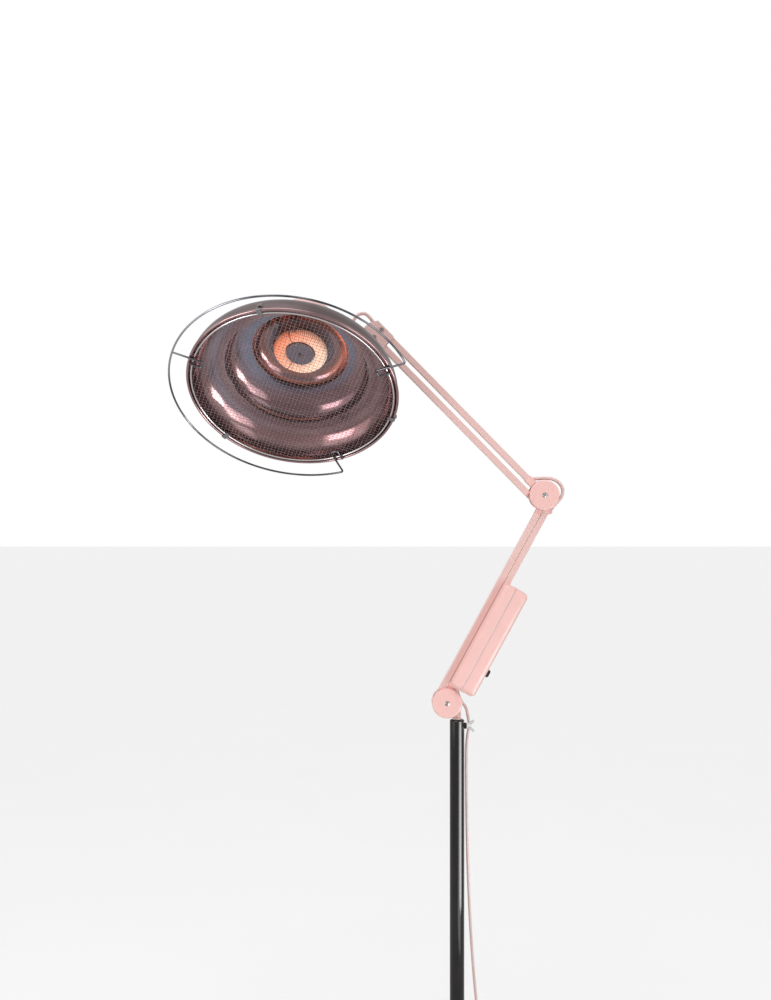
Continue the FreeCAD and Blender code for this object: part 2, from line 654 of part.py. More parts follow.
# ---------------------------------------------------------------- elbow
def make_elbow():
    plates = []
    pivots = (ELBOW, ELBOW_BOTTOM, ELBOW_LEFT, ELBOW_RIGHT)
    for side in (-1, 1):
        start = ELBOW + Y_AXIS * (side * PLATE_INNER)
        end = ELBOW + Y_AXIS * (side * (PLATE_INNER + PLATE_THICKNESS))
        plate = cylinder(COVER_RADIUS - 2, start, end)
        for pivot in pivots:
            plate = plate.cut(pin_way(pivot, 20))
        plates.append(plate)
    pins = []
    spacers = []
    for pivot in pivots:
        pins.append(pin(pivot, PLATE_INNER + PLATE_THICKNESS))
        inner = TONGUE_HALF if pivot in (ELBOW, ELBOW_BOTTOM) else FORK_OUTER
        for side in (-1, 1):
            start = pivot + Y_AXIS * (side * (inner + SLIP))
            end = pivot + Y_AXIS * (side * (PLATE_INNER - THIN))
            ring = cylinder(5.0, start, end).cut(cylinder(PIN_RADIUS + THIN, start, end))
            spacers.append(ring)
    hole = cylinder(SCREW_RADIUS + SLIP, ELBOW - Y_AXIS * 20, ELBOW + Y_AXIS * 20)
    pins[0] = pins[0].cut(hole)
    export("elbow_plates", *plates)
    export("elbow_pins", *pins)
    export("elbow_spacers", *spacers)
    export("elbow_cover_front", round_cover(ELBOW, -1))
    export("elbow_cover_rear", round_cover(ELBOW, 1))
    export("elbow_cover_screws", cover_screw(ELBOW, -1, 9), cover_screw(ELBOW, 1, 9))


# ---------------------------------------------------------------- control box
def make_control_box():
    place = frame(SHOULDER, LOWER_ALONG, LOWER_ACROSS)
    start, end = BOX_START, BOX_START + BOX_LENGTH
    half = BOX_WIDTH / 2
    outside = pillow((start, BOX_LEFT, -half), (end, BOX_RIGHT, half), BOX_ROUND)
    wall = BOX_WALL
    inside = pillow((start + wall, BOX_LEFT + wall, -half + wall),
                    (end - wall, BOX_RIGHT - wall, half - wall), BOX_ROUND - wall)
    bar_right = RIGHT_PIVOT_ACROSS + BAR_WIDTH / 2
    channel = box((start - 1, BOX_LEFT - 1, -BAR_DEPTH / 2 - THIN),
                  (end + 1, bar_right + THIN, BAR_DEPTH / 2 + THIN))
    channel_walls = box((start + 1, BOX_LEFT + 1, -BAR_DEPTH / 2 - 2),
                        (end - 1, bar_right + 2, BAR_DEPTH / 2 + 2))
    channel_walls = channel_walls.common(outside)
    rear_half = box((start - 5, BOX_LEFT - 5, -half - 5), (end + 5, BOX_SEAM, half + 5))
    front_half = box((start - 5, BOX_SEAM, -half - 5), (end + 5, BOX_RIGHT + 5, half + 5))
    shell = outside.cut(inside)
    rear = shell.common(rear_half).fuse(channel_walls).cut(channel)
    front = shell.common(front_half)

    screws = []
    for along in (start + 16, end - 16):
        for y in (-half + 12.5, half - 12.5):
            post_low = Vector(along, BOX_LEFT + 1.5, y)
            post_mid = Vector(along, BOX_SEAM, y)
            post_top = Vector(along, BOX_RIGHT - 1.5, y)
            rear = rear.fuse(cylinder(4.5, post_low, post_mid).common(rear_half))
            front = front.fuse(cylinder(4.5, post_mid, post_top).common(front_half))
            deep = Vector(along, BOX_LEFT + 3, y)
            tip = Vector(along, BOX_SEAM + 12, y)
            way = cylinder(1.7, deep, tip)
            mouth = cylinder(3.4, Vector(along, BOX_LEFT - 1, y), deep)
            rear = rear.cut(way).cut(mouth)
            front = front.cut(way)
            head = cylinder(3.1, Vector(along, BOX_LEFT + 0.8, y), deep)
            screws.append(head.fuse(cylinder(1.5, deep, tip - Y_AXIS * 0.5)))

    knob_at = Vector(KNOB_ALONG, BOX_RIGHT, 0)
    switch_at = Vector(SWITCH_ALONG, BOX_RIGHT, 0)
    front = front.cut(cylinder(3.3, knob_at - Y_AXIS * 6, knob_at + Y_AXIS * 2))
    opening = box((SWITCH_ALONG - 10.1, BOX_RIGHT - 6, -7.1),
                  (SWITCH_ALONG + 10.1, BOX_RIGHT + 2, 7.1))
    front = front.cut(opening)
    gland_at = Vector(start, CORD_EXIT_ACROSS, CORD_EXIT_Y)
    rear = rear.cut(cylinder(RELIEF_RADIUS + THIN, gland_at - X_AXIS * 3, gland_at + X_AXIS * 6))

    # the potentiometer hangs under the front wall with its shaft through it
    wall_under = BOX_RIGHT - BOX_WALL - THIN
    pot = cylinder(9.5, Vector(KNOB_ALONG, wall_under - 9, 0), Vector(KNOB_ALONG, wall_under, 0))
    pot = pot.fuse(cylinder(3.0, Vector(KNOB_ALONG, wall_under - 1, 0),
                            Vector(KNOB_ALONG, BOX_RIGHT + 5, 0)))
    skirt = spun([(0, 0), (KNOB_RADIUS + 0.6, 0), (KNOB_RADIUS + 0.6, 1.6), (KNOB_RADIUS, 2.2),
                  (KNOB_RADIUS - 0.6, KNOB_HEIGHT - 1), (KNOB_RADIUS - 1.6, KNOB_HEIGHT),
                  (0, KNOB_HEIGHT)])
    skirt = skirt.cut(Part.makeCylinder(3.0 + RUNNING, 5.6))
    groove = box((KNOB_RADIUS - 0.8, -0.5, 2.8), (KNOB_RADIUS + 2, 0.5, KNOB_HEIGHT + 1))
    for index in range(KNOB_GROOVES):
        turned = groove.copy()
        turned.rotate(ORIGIN, Z_AXIS, index * 360 / KNOB_GROOVES)
        skirt = skirt.cut(turned)
    knob_place = Placement(knob_at + Y_AXIS * LAYER_GAP, Rotation(X_AXIS, -90))
    knob = put(skirt, knob_place)

    # a rocker in its bezel, tipped on a cross pin
    bezel = box((SWITCH_ALONG - 12, BOX_RIGHT + THIN, -9),
                (SWITCH_ALONG + 12, BOX_RIGHT + 1.6, 9))
    bezel = bezel.makeFillet(0.8, straight_edges(bezel, Y_AXIS))
    body = box((SWITCH_ALONG - 10, BOX_RIGHT - 16, -7), (SWITCH_ALONG + 10, BOX_RIGHT + 0.2, 7))
    body = body.fuse(bezel)
    well = box((SWITCH_ALONG - 8.4, BOX_RIGHT - 7, -5.4),
               (SWITCH_ALONG + 8.4, BOX_RIGHT + 3, 5.4))
    pivot_at = Vector(0, -ROCKER_PIVOT_DEPTH, 0)
    stub = cylinder(ROCKER_PIVOT_RADIUS, pivot_at - Z_AXIS * 6, pivot_at + Z_AXIS * 6)
    stub_way = cylinder(ROCKER_PIVOT_RADIUS + RUNNING, pivot_at - Z_AXIS * 6.2,
                        pivot_at + Z_AXIS * 6.2)
    stub_way.translate(Vector(SWITCH_ALONG, BOX_RIGHT, 0))
    body = body.cut(well).cut(stub_way)
    rocker = prism([(-7.4, -0.2), (-7.4, 1.7), (0, 0.6), (7.4, 3.4), (7.4, 1.6), (2.5, -4),
                    (-2.5, -4)], -4.9, 4.9)
    rocker = rocker.fuse(stub)
    rocker.translate(Vector(SWITCH_ALONG, BOX_RIGHT, 0))

    # the power board stands on the channel, beside the potentiometer and the switch
    board_low = bar_right + 2 + THIN
    board = box((KNOB_ALONG + 20, board_low + 1, -30),
                (SWITCH_ALONG - 20, board_low + 2.6, 30))
    triac = box((KNOB_ALONG + 34, board_low + 2.6, -12), (KNOB_ALONG + 38, board_low + 16, 8))
    choke = cylinder(8, Vector(SWITCH_ALONG - 44, board_low + 2.6, 10),
                     Vector(SWITCH_ALONG - 44, board_low + 14, 10))
    foot = box((KNOB_ALONG + 24, board_low, -6), (SWITCH_ALONG - 24, board_low + 1, 6))
    board = board.fuse([triac, choke, foot])

    export("control_box_rear", put(rear.removeSplitter(), place))
    export("control_box_front", put(front.removeSplitter(), place))
    export("control_box_screws", *[put(s, place) for s in screws])
    export("potentiometer", put(pot, place))
    export("power_knob", put(knob, place))
    export("switch_body", put(body, place))
    export("rocker_switch", put(rocker, place))
    export("power_board", put(board, place))


# ---------------------------------------------------------------- cables and mains lead
def relief_points():
    """The gland's mouth, the boot's bend and the boot's free end."""
    mouth = from_shoulder(BOX_START, CORD_EXIT_ACROSS, CORD_EXIT_Y)
    bend = from_shoulder(BOX_START - RELIEF_BOSS, CORD_EXIT_ACROSS, CORD_EXIT_Y)
    heading = math.radians(RELIEF_HEADING_DEG)
    free = bend + Vector(math.cos(heading), 0, math.sin(heading)) * RELIEF_LENGTH
    return mouth, bend, free


def upper_route():
    """Corners of the lead from inside the boot to just under the shoulder's covers."""
    _, bend, free = relief_points()
    ahead = (free - bend).normalize()
    corner = free + ahead * 7.5
    return [bend + ahead * 6, corner, corner + Vector(10.9, -0.6, -11),
            corner + Vector(14.6, -1.8, -32)]


def make_lead():
    mouth, bend, free = relief_points()
    inward = LOWER_ALONG * 5
    boot = cylinder(RELIEF_RADIUS, mouth + inward, bend)
    boot = boot.fuse(Part.makeSphere(RELIEF_RADIUS, bend))
    boot = boot.fuse(cone(RELIEF_RADIUS, CORD_RADIUS + 0.4, bend, free))
    lead_way = cylinder(CORD_RADIUS + THIN, bend + (free - bend) * 0.2, free + (free - bend))
    export("cord_relief", boot.cut(lead_way))

    upper = upper_route()
    export("cord_upper", rod(upper, CORD_RADIUS, "cord_upper"))
    below = upper[-1] + (upper[-1] - upper[-2]).normalize() * THIN
    drop = rod([below] + LEAD_DROP, CORD_RADIUS, "cord_lower")
    coil = Part.makeCylinder(COIL_MID_RADIUS + COIL_HALF_WIDTH, COIL_HEIGHT)
    coil = coil.cut(Part.makeCylinder(COIL_MID_RADIUS - COIL_HALF_WIDTH, COIL_HEIGHT))
    coil.translate(COIL_CENTRE + Z_AXIS * COIL_LIFT)
    tail = rod(LEAD_TAIL, CORD_RADIUS, "cord_tail")
    export("cord_lower", drop, coil, tail)
    export("plug", plug(LEAD_TAIL[-1], LEAD_TAIL[-1] - LEAD_TAIL[-2]))


def plug(start, direction):
    """A moulded two-pin plug whose cord end is at start; it lies flat on the floor."""
    level = Vector(direction.x, direction.y, 0).normalize()
    sideways = Z_AXIS.cross(level)
    place = frame(Vector(start.x, start.y, 11.0), level, sideways)
    neck = Part.makeCone(3.6, 6.2, 14, ORIGIN, X_AXIS)
    body = rounded_box((12, -15, -8), (40, 15, 8), 6, X_AXIS)
    plate = rounded_box((38, -18, -10.6), (42, 18, 10.6), 8, X_AXIS)
    pins = []
    for across in (-9.5, 9.5):
        pins.append(Part.makeCylinder(2.0, 20, Vector(41, across, 0), X_AXIS))
    return put(neck.fuse([body, plate] + pins).removeSplitter(), place)


def cable_seat(route):
    """The bore that a cable's first run starts in."""
    ahead = (route[1] - route[0]).normalize()
    return cylinder(ARM_CABLE_RADIUS + SLIP, route[0] - ahead * 0.5, route[1] + ahead * 2)


def elbow_route():
    """Corners of the cable that loops round the elbow, from the upper bar to the lower."""
    inlet = ELBOW_RIGHT - LOWER_ALONG * (LUG_LENGTH - 3.5) + LOWER_ACROSS * (BAR_WIDTH / 2 + 1.4)
    leaving = inlet + LOWER_ALONG * 12
    return [ELBOW + Vector(-26.8, 0, 31.9), ELBOW + Vector(-13.5, 0, 32.0),
            ELBOW + Vector(4.0, 0, 33.6), ELBOW + Vector(20.0, 0, 31.4),
            ELBOW + Vector(33.4, 0, 21.6), ELBOW + Vector(38.0, 0, 8.8),
            ELBOW + Vector(34.6, 0, -5.0), leaving, inlet]


def head_route():
    """Corners of the cable that arches from the upper bar into the hollow swivel bolt."""
    start = HEAD_TOP + UPPER_ALONG * (PIN_RADIUS + 1.0) + UPPER_ACROSS * 1.2
    return [start, HEAD_TOP + Vector(-15.0, 0, 14.2), HEAD_TOP + Vector(-29.5, 0, 33.0),
            HEAD_TOP + Vector(-43.5, 0, 33.0), HEAD_TOP + Vector(-54.0, 0, 22.2),
            SWIVEL + Vector(0, 0, 18.4), SWIVEL + Vector(0, 0, 9.0)]


def make_arm_cables():
    export("elbow_cable", rod(elbow_route(), ARM_CABLE_RADIUS, "elbow_cable"))
    export("head_cable", rod(head_route(), ARM_CABLE_RADIUS, "head_cable"))


# ---------------------------------------------------------------- head carrier
def head_axes():
    """Tilt axis, the dish's depth axis and their cross, as unit vectors."""
    yaw = math.radians(HEAD_YAW_DEG)
    down = math.radians(HEAD_DOWN_DEG)
    tilt_axis = Vector(math.cos(yaw), math.sin(yaw), 0)
    depth = Vector(-math.sin(yaw) * math.cos(down), math.cos(yaw) * math.cos(down),
                   math.sin(down))
    return tilt_axis, depth


TILT_AXIS, DEPTH_AXIS = head_axes()
SWIVEL = HEAD_TOP + Vector(-SWIVEL_AHEAD, 0, -SWIVEL_DROP)
TILT_CENTRE = SWIVEL - TILT_AXIS * NECK_REACH
RIM_CENTRE = TILT_CENTRE - DEPTH_AXIS * TILT_DEPTH
NECK_FRAME = frame(SWIVEL, TILT_AXIS * -1, Z_AXIS.cross(TILT_AXIS * -1))
DISH_FRAME = frame(RIM_CENTRE, TILT_AXIS, DEPTH_AXIS.cross(TILT_AXIS))


def make_head_bracket():
    """Two cheeks on the bar ends, joined below the cable, and a level tongue ahead."""
    place = frame(ELBOW, UPPER_ALONG, UPPER_ACROSS)
    start = UPPER_LENGTH - 26
    end = UPPER_LENGTH + 27
    low = LEVER + 6.7
    cheek = prism([(start, -7.2), (end - 9, -7.2), (end, 8), (end, low), (start + 4, low),
                   (start, low - 4)], PLATE_INNER, PLATE_INNER + PLATE_THICKNESS)
    bridge = prism([(UPPER_LENGTH + 12, 8), (end, 8), (end, low), (UPPER_LENGTH + 12, low)],
                   -PLATE_INNER - 1, PLATE_INNER + 1)
    body = put(bridge, place)
    for plate in both_sides(cheek):
        body = body.fuse(put(plate, place))
    half = TONGUE_THICK / 2
    inside_bridge = from_elbow(UPPER_LENGTH + 16, LEVER + 1).x
    arm = box((SWIVEL.x, -9, SWIVEL.z - half), (inside_bridge, 9, SWIVEL.z + half))
    eye = Part.makeCylinder(SWIVEL_EYE_RADIUS, TONGUE_THICK, SWIVEL - Z_AXIS * half)
    body = body.fuse([arm, eye])
    body = body.cut(Part.makeCylinder(SWIVEL_BOLT_RADIUS + RUNNING, 40, SWIVEL - Z_AXIS * 20))
    for pivot in (HEAD_TOP, HEAD_BOTTOM):
        body = body.cut(pin_way(pivot, 20))
    export("head_bracket", body.removeSplitter())

    outer = PLATE_INNER + PLATE_THICKNESS
    heads = []
    for pivot in (HEAD_TOP, HEAD_BOTTOM):
        bolt = pin(pivot, outer + 1.4)
        for side in (-1, 1):
            under = pivot + Y_AXIS * (side * (outer + THIN))
            top = pivot + Y_AXIS * (side * (outer + 1.8))
            bolt = bolt.fuse(cylinder(4.0, under, top))
        heads.append(bolt.removeSplitter())
    export("head_pins", *heads)


def make_neck():
    half = TONGUE_THICK / 2 + LAYER_GAP
    outer = half + JAW_THICK
    width = NECK_BARREL_RADIUS + 3
    neck = box((JAW_ROOT, -width, -outer), (JAW_END, width, outer))
    for low, high in ((half, outer), (-outer, -half)):
        eye = Part.makeCylinder(SWIVEL_EYE_RADIUS, high - low, Vector(0, 0, low))
        jaw = box((0, -SWIVEL_EYE_RADIUS, low), (JAW_ROOT + 1, SWIVEL_EYE_RADIUS, high))
        neck = neck.fuse([eye, jaw])
    collar = Part.makeCylinder(width, NECK_CLEARANCE - BOSS_HEIGHT - JAW_END - SLIP,
                               Vector(JAW_END, 0, 0), X_AXIS)
    barrel = Part.makeCylinder(NECK_BARREL_RADIUS, NECK_CLEARANCE + 13 - JAW_END,
                               Vector(JAW_END - 1, 0, 0), X_AXIS)
    neck = neck.fuse([collar, barrel])
    neck = neck.cut(Part.makeCylinder(SWIVEL_BOLT_RADIUS + THIN, 60, Vector(0, 0, -30)))
    wire_way = Part.makeCylinder(NECK_BARREL_RADIUS - 3.5, 60, Vector(JAW_ROOT + 1.5, 0, 0), X_AXIS)
    neck = neck.cut(wire_way)
    export("neck", put(neck.removeSplitter(), NECK_FRAME))

    top = outer + THIN
    bottom = -outer - THIN
    bore = ARM_CABLE_RADIUS + SLIP
    bolt = spun([(bore, bottom - 4), (BOLT_HEAD_RADIUS, bottom - 4), (BOLT_HEAD_RADIUS, bottom),
                 (SWIVEL_BOLT_RADIUS, bottom), (SWIVEL_BOLT_RADIUS, top), (BOLT_HEAD_RADIUS, top),
                 (BOLT_HEAD_RADIUS, top + 2.4), (bore, top + 2.4)])
    export("swivel_bolt", put(bolt, NECK_FRAME))

    ring_at = NECK_CLEARANCE + 3.1
    ring = Part.makeCylinder(NECK_BARREL_RADIUS + 2, 4, Vector(ring_at, 0, 0), X_AXIS)
    bore = Part.makeCylinder(NECK_BARREL_RADIUS + THIN, 20, Vector(ring_at - 1, 0, 0), X_AXIS)
    export("tilt_lock_ring", put(ring.cut(bore), NECK_FRAME))


# ---------------------------------------------------------------- dish
def dish_profile(shift):
    """The meridian of the stepped dish as (radius, depth) points, from rim to back.

    Each step is a quarter-round wall that turns into a nearly flat ledge. shift moves the
    whole line outwards and back, which gives the sheet its thickness.
    """
    points = []
    radius, depth = RIM_RADIUS, 0.0
    for step_radius, step_depth in zip(STEP_RADII, STEP_DEPTHS):
        ledge_radius = step_radius + (radius - step_radius) * LEDGE_SHARE
        ledge_depth = step_depth - (step_depth - depth) * LEDGE_RISE_SHARE
        points += ellipse_points((ledge_radius, depth), radius - ledge_radius,
                                 ledge_depth - depth, 0, 90, WALL_CHORDS)
        radius, depth = step_radius, step_depth
    points.append((radius, depth))
    return [(r + shift, d + shift) for r, d in points]


def make_dish():
    inner = dish_profile(0.0)
    outer = dish_profile(DISH_WALL)
    bead = ellipse_points((RIM_RADIUS + DISH_WALL / 2, 0), BEAD_RADIUS, BEAD_RADIUS, 60, -240, 8)
    shell = spun(bead + inner[1:] + outer[:0:-1])
    export("reflector", put(shell, DISH_FRAME))

    plate_front = STEP_DEPTHS[-1] + DISH_WALL + THIN
    plate_back = plate_front + BACK_PLATE_THICKNESS
    plate = Part.makeCylinder(CAP_RADIUS + 1, BACK_PLATE_THICKNESS, Vector(0, 0, plate_front))
    export("back_plate", put(plate, DISH_FRAME))

    cap_start = plate_back + THIN
    cap_end = cap_start + CAP_DEPTH
    crown = ellipse_points((CAP_RADIUS - CAP_CROWN, cap_end - CAP_CROWN), CAP_CROWN, CAP_CROWN,
                           0, 90, 4)
    inner_round = CAP_CROWN - CAP_WALL
    inner_crown = ellipse_points((CAP_RADIUS - CAP_CROWN, cap_end - CAP_CROWN), inner_round,
                                 inner_round, 90, 0, 4)
    cap = spun([(CAP_RADIUS - CAP_WALL, cap_start), (CAP_RADIUS, cap_start)] + crown
               + [(0, cap_end), (0, cap_end - CAP_WALL)] + inner_crown)
    boss = Part.makeCylinder(NECK_BARREL_RADIUS + 5, BOSS_HEIGHT + CAP_WALL,
                             Vector(CAP_RADIUS - CAP_WALL, 0, TILT_DEPTH), X_AXIS)
    round_inside = Part.makeCylinder(CAP_RADIUS - CAP_WALL, CAP_DEPTH, Vector(0, 0, cap_start))
    cap = cap.fuse(boss.cut(round_inside))
    barrel_way = Part.makeCylinder(NECK_BARREL_RADIUS + RUNNING, CAP_RADIUS,
                                   Vector(CAP_RADIUS / 3, 0, TILT_DEPTH), X_AXIS)
    cap = cap.cut(barrel_way)
    slot = rounded_box((18, -2, cap_end - 20), (44, 2, cap_end + 5), 1.9, Z_AXIS)
    pitch = 360 / VENT_COUNT
    for index in range(VENT_COUNT):
        turned = slot.copy()
        turned.rotate(ORIGIN, Z_AXIS, (index + 0.5) * pitch)
        cap = cap.cut(turned)

    posts = []
    screws = []
    for index in range(3):
        angle = math.radians(90 + index * 120)
        x = (CAP_RADIUS - 9) * math.cos(angle)
        y = (CAP_RADIUS - 9) * math.sin(angle)
        low = Vector(x, y, cap_start)
        high = Vector(x, y, cap_end - 1)
        cap = cap.fuse(cylinder(4, low, high)).cut(cylinder(1.6, low, high + Z_AXIS * 4))
        head_at = Vector(x, y, cap_end + THIN)
        screw = cylinder(1.5, low, head_at).fuse(cylinder(3.4, head_at, head_at + Z_AXIS * 2))
        screws.append(put(screw, DISH_FRAME))
    export("back_cap", put(cap.removeSplitter(), DISH_FRAME))
    export("cap_screws", *screws)

    block = box((-18, -12, plate_back + THIN), (18, 12, plate_back + 16))
    for x in (-9, 9):
        block = block.cut(Part.makeCylinder(3, 30, Vector(x, 0, plate_back + 6)))
    export("terminal_block", put(block, DISH_FRAME))
    make_heater(plate_front)
    make_guard()


def make_heater(plate_front):
    section = ellipse_points((ELEMENT_RADIUS, ELEMENT_DEPTH), ELEMENT_TUBE, ELEMENT_TUBE, 0, 337.5,
                             15)
    export("heating_element", put(spun(section), DISH_FRAME))

    disc_back = CENTRE_DISC_DEPTH + 3
    holder = spun([(0, CENTRE_DISC_DEPTH), (CENTRE_DISC_RADIUS - 1, CENTRE_DISC_DEPTH),
                   (CENTRE_DISC_RADIUS, CENTRE_DISC_DEPTH + 1), (CENTRE_DISC_RADIUS, disc_back),
                   (9, disc_back), (9, plate_front - THIN), (0, plate_front - THIN)])
    holder = holder.cut(Part.makeCylinder(2, 40, Vector(0, 0, CENTRE_DISC_DEPTH - 1)))
    export("element_holder", put(holder, DISH_FRAME))
    screw = Part.makeCylinder(4, 1.6, Vector(0, 0, CENTRE_DISC_DEPTH - 1.6 - THIN))
    screw = screw.fuse(Part.makeCylinder(1.9, 24, Vector(0, 0, CENTRE_DISC_DEPTH - 0.5)))
    export("holder_screw", put(screw, DISH_FRAME))

    terminals = []
    radius = ELEMENT_RADIUS + ELEMENT_TUBE + 1.5
    for angle_deg in (-136, -160, -94):
        angle = math.radians(angle_deg)
        foot = Vector(radius * math.cos(angle), radius * math.sin(angle), plate_front - THIN)
        seat = Vector(foot.x, foot.y, ELEMENT_DEPTH - 3)
        bead = cylinder(3.6, seat, foot)
        bead = bead.cut(put(Part.makeTorus(ELEMENT_RADIUS, ELEMENT_TUBE + THIN),
                            Placement(Vector(0, 0, ELEMENT_DEPTH), Rotation())))
        terminals.append(put(bead, DISH_FRAME))
    export("element_terminals", *terminals)

    ties = []
    for angle_deg in (-105, 132):
        tie = spun([(ELEMENT_TUBE + 0.1, -0.6), (ELEMENT_TUBE + 1.1, -0.6),
                    (ELEMENT_TUBE + 1.1, 0.6), (ELEMENT_TUBE + 0.1, 0.6)])
        tie.rotate(ORIGIN, X_AXIS, 90)
        tie.translate(Vector(ELEMENT_RADIUS, 0, ELEMENT_DEPTH))
        tie.rotate(ORIGIN, Z_AXIS, angle_deg)
        ties.append(put(tie, DISH_FRAME))
    export("element_ties", *ties)


def make_guard():
    """Mesh wires, frame, clips and handle ring, in front of the rim plane (depth < 0)."""
    frame_depth = -BEAD_RADIUS + MESH_FRAME_WIRE * math.sin(math.radians(60))
    hoop = spun(ellipse_points((MESH_FRAME_RADIUS, frame_depth), MESH_FRAME_WIRE,
                               MESH_FRAME_WIRE, 0, 300, 5))
    wires = [put(hoop, DISH_FRAME)]
    turn = Placement(ORIGIN, Rotation(Z_AXIS, MESH_ANGLE_DEG))
    count = int(MESH_FRAME_RADIUS / MESH_PITCH)
    for layer in (0, 1):
        level = frame_depth + MESH_FRAME_WIRE + MESH_WIRE + THIN
        level = level + layer * (2 * MESH_WIRE + THIN)
        quarter = Placement(ORIGIN, Rotation(Z_AXIS, 90 * layer))
        for index in range(-count, count + 1):
            offset = index * MESH_PITCH
            half = math.sqrt(MESH_FRAME_RADIUS ** 2 - offset ** 2)
            wire = box((-half, offset - MESH_WIRE, level - MESH_WIRE),
                       (half, offset + MESH_WIRE, level + MESH_WIRE))
            wires.append(put(wire, DISH_FRAME.multiply(turn).multiply(quarter)))
    export("mesh_guard", *wires)
    print("mesh solids", len(wires))

    clips = []
    screws = []
    outer = RIM_RADIUS + DISH_WALL / 2 + BEAD_RADIUS + THIN
    inner = MESH_FRAME_RADIUS - MESH_FRAME_WIRE - 1.5
    front = -BEAD_RADIUS - THIN
    section = [(outer, 14), (outer + 1, 14), (outer + 1, front - 1), (inner, front - 1),
               (inner - 1.2, front + 1), (inner - 0.4, front + 1.6), (inner + 0.6, front),
               (outer, front)]
    corners = [Vector(r, -CLIP_WIDTH / 2, z) for r, z in section]
    profile = Part.Face(Part.makePolygon(corners + [corners[0]]))
    clip = profile.extrude(Vector(0, CLIP_WIDTH, 0))
    seat = Vector(outer + 1 + THIN, 0, 7)
    screw = cylinder(3.2, seat, seat + X_AXIS * 2.4)
    for angle_deg in CLIP_ANGLES_DEG:
        place = DISH_FRAME.multiply(Placement(ORIGIN, Rotation(Z_AXIS, angle_deg)))
        clips.append(put(clip, place))
        screws.append(put(screw, place))
    export("mesh_clips", *clips)
    export("clip_screws", *screws)

    level = -BEAD_RADIUS - RING_WIRE - SLIP
    turn = Placement(ORIGIN, Rotation(Z_AXIS, MIDDLE_LEG_DEG))
    export("guard_ring", put(handle_ring(level), DISH_FRAME),
           put(middle_leg(level), DISH_FRAME.multiply(turn)))


def wire_section(start, direction):
    """The ring wire's section at a point, as a face across the given direction."""
    across = Z_AXIS.cross(direction).normalize()
    corners = [start + across * u + Z_AXIS * v
               for u, v in ellipse_points((0, 0), RING_WIRE, RING_WIRE, 0, 324, 9)]
    return Part.Face(Part.makePolygon(corners + [corners[0]]))


def straight_wire(start, end):
    return wire_section(start, end - start).extrude(end - start)


def turned_wire(centre, start, angle_deg):
    """A bend in the ring's wire: its section at start, turned about a centre along Z."""
    direction = Z_AXIS.cross(start - centre)
    return wire_section(start, direction).revolve(centre, Z_AXIS, angle_deg)


def hairpin(level, side):
    """Pieces of a leg that runs in along x from the hoop, turns back and ends on the rim."""
    bend = RING_BEND - 1
    width = side * HAIRPIN_WIDTH
    inner = LEG_INNER_RADIUS
    way_in = Vector(inner + bend, 0, level)
    corner_1 = Vector(inner, side * bend, level)
    corner_2 = Vector(inner, width - side * bend, level)
    way_out = Vector(inner + bend, width, level)
    end = Vector(RIM_RADIUS - 1, width, level)
    return way_in, [turned_wire(way_in + Y_AXIS * (side * bend), way_in, -90 * side),
                    straight_wire(corner_1, corner_2),
                    turned_wire(way_out - Y_AXIS * (side * bend), corner_2, -90 * side),
                    straight_wire(way_out, end)]


def handle_ring(level):
    """The open hoop with a hairpin leg at each end, all one wire."""
    centre_r = RING_RADIUS - RING_BEND
    swing = math.asin(RING_BEND / centre_r)
    start = RING_START_DEG + math.degrees(swing)
    end = RING_END_DEG - math.degrees(swing)
    opening = math.radians(start)
    hoop_start = Vector(RING_RADIUS * math.cos(opening), RING_RADIUS * math.sin(opening), level)
    wire = turned_wire(Vector(0, 0, level), hoop_start, end - start)
    leg_radius = centre_r * math.cos(swing)
    for angle_deg, side in ((RING_START_DEG, 1), (RING_END_DEG, -1)):
        way_in, pieces = hairpin(level, -side)
        leg_top = Vector(leg_radius, 0, level)
        bend_centre = Vector(leg_radius, side * RING_BEND, level)
        bend_deg = side * (90 + math.degrees(swing))
        pieces.append(turned_wire(bend_centre, leg_top, bend_deg))
        pieces.append(straight_wire(leg_top, way_in))
        turn = Placement(ORIGIN, Rotation(Z_AXIS, angle_deg))
        wire = wire.fuse([put(piece, turn) for piece in pieces])
    return wire.removeSplitter()


def middle_leg(level):
    """The third hairpin, welded to the hoop; x is radial."""
    way_in, pieces = hairpin(level, -1)
    top = Vector(RING_RADIUS - RING_WIRE - THIN, 0, level)
    return straight_wire(top, way_in).fuse(pieces).removeSplitter()


def main():
    os.makedirs("parts", exist_ok=True)
    make_stand()
    make_shoulder()
    make_lower_bars()
    make_upper_bars()
    make_elbow()
    make_control_box()
    make_lead()
    make_arm_cables()
    make_head_bracket()
    make_neck()
    make_dish()


main()
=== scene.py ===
"""Looks of the infrared heat therapy lamp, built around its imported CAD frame.

Blender works in metres. Named sizes are the part's own, in millimetres, and MM turns them into
metres. Points of the arm and the head are in metres, and colours are linear.
"""
import math
from collections import namedtuple

import bmesh
import bpy
from mathutils import Matrix, Vector


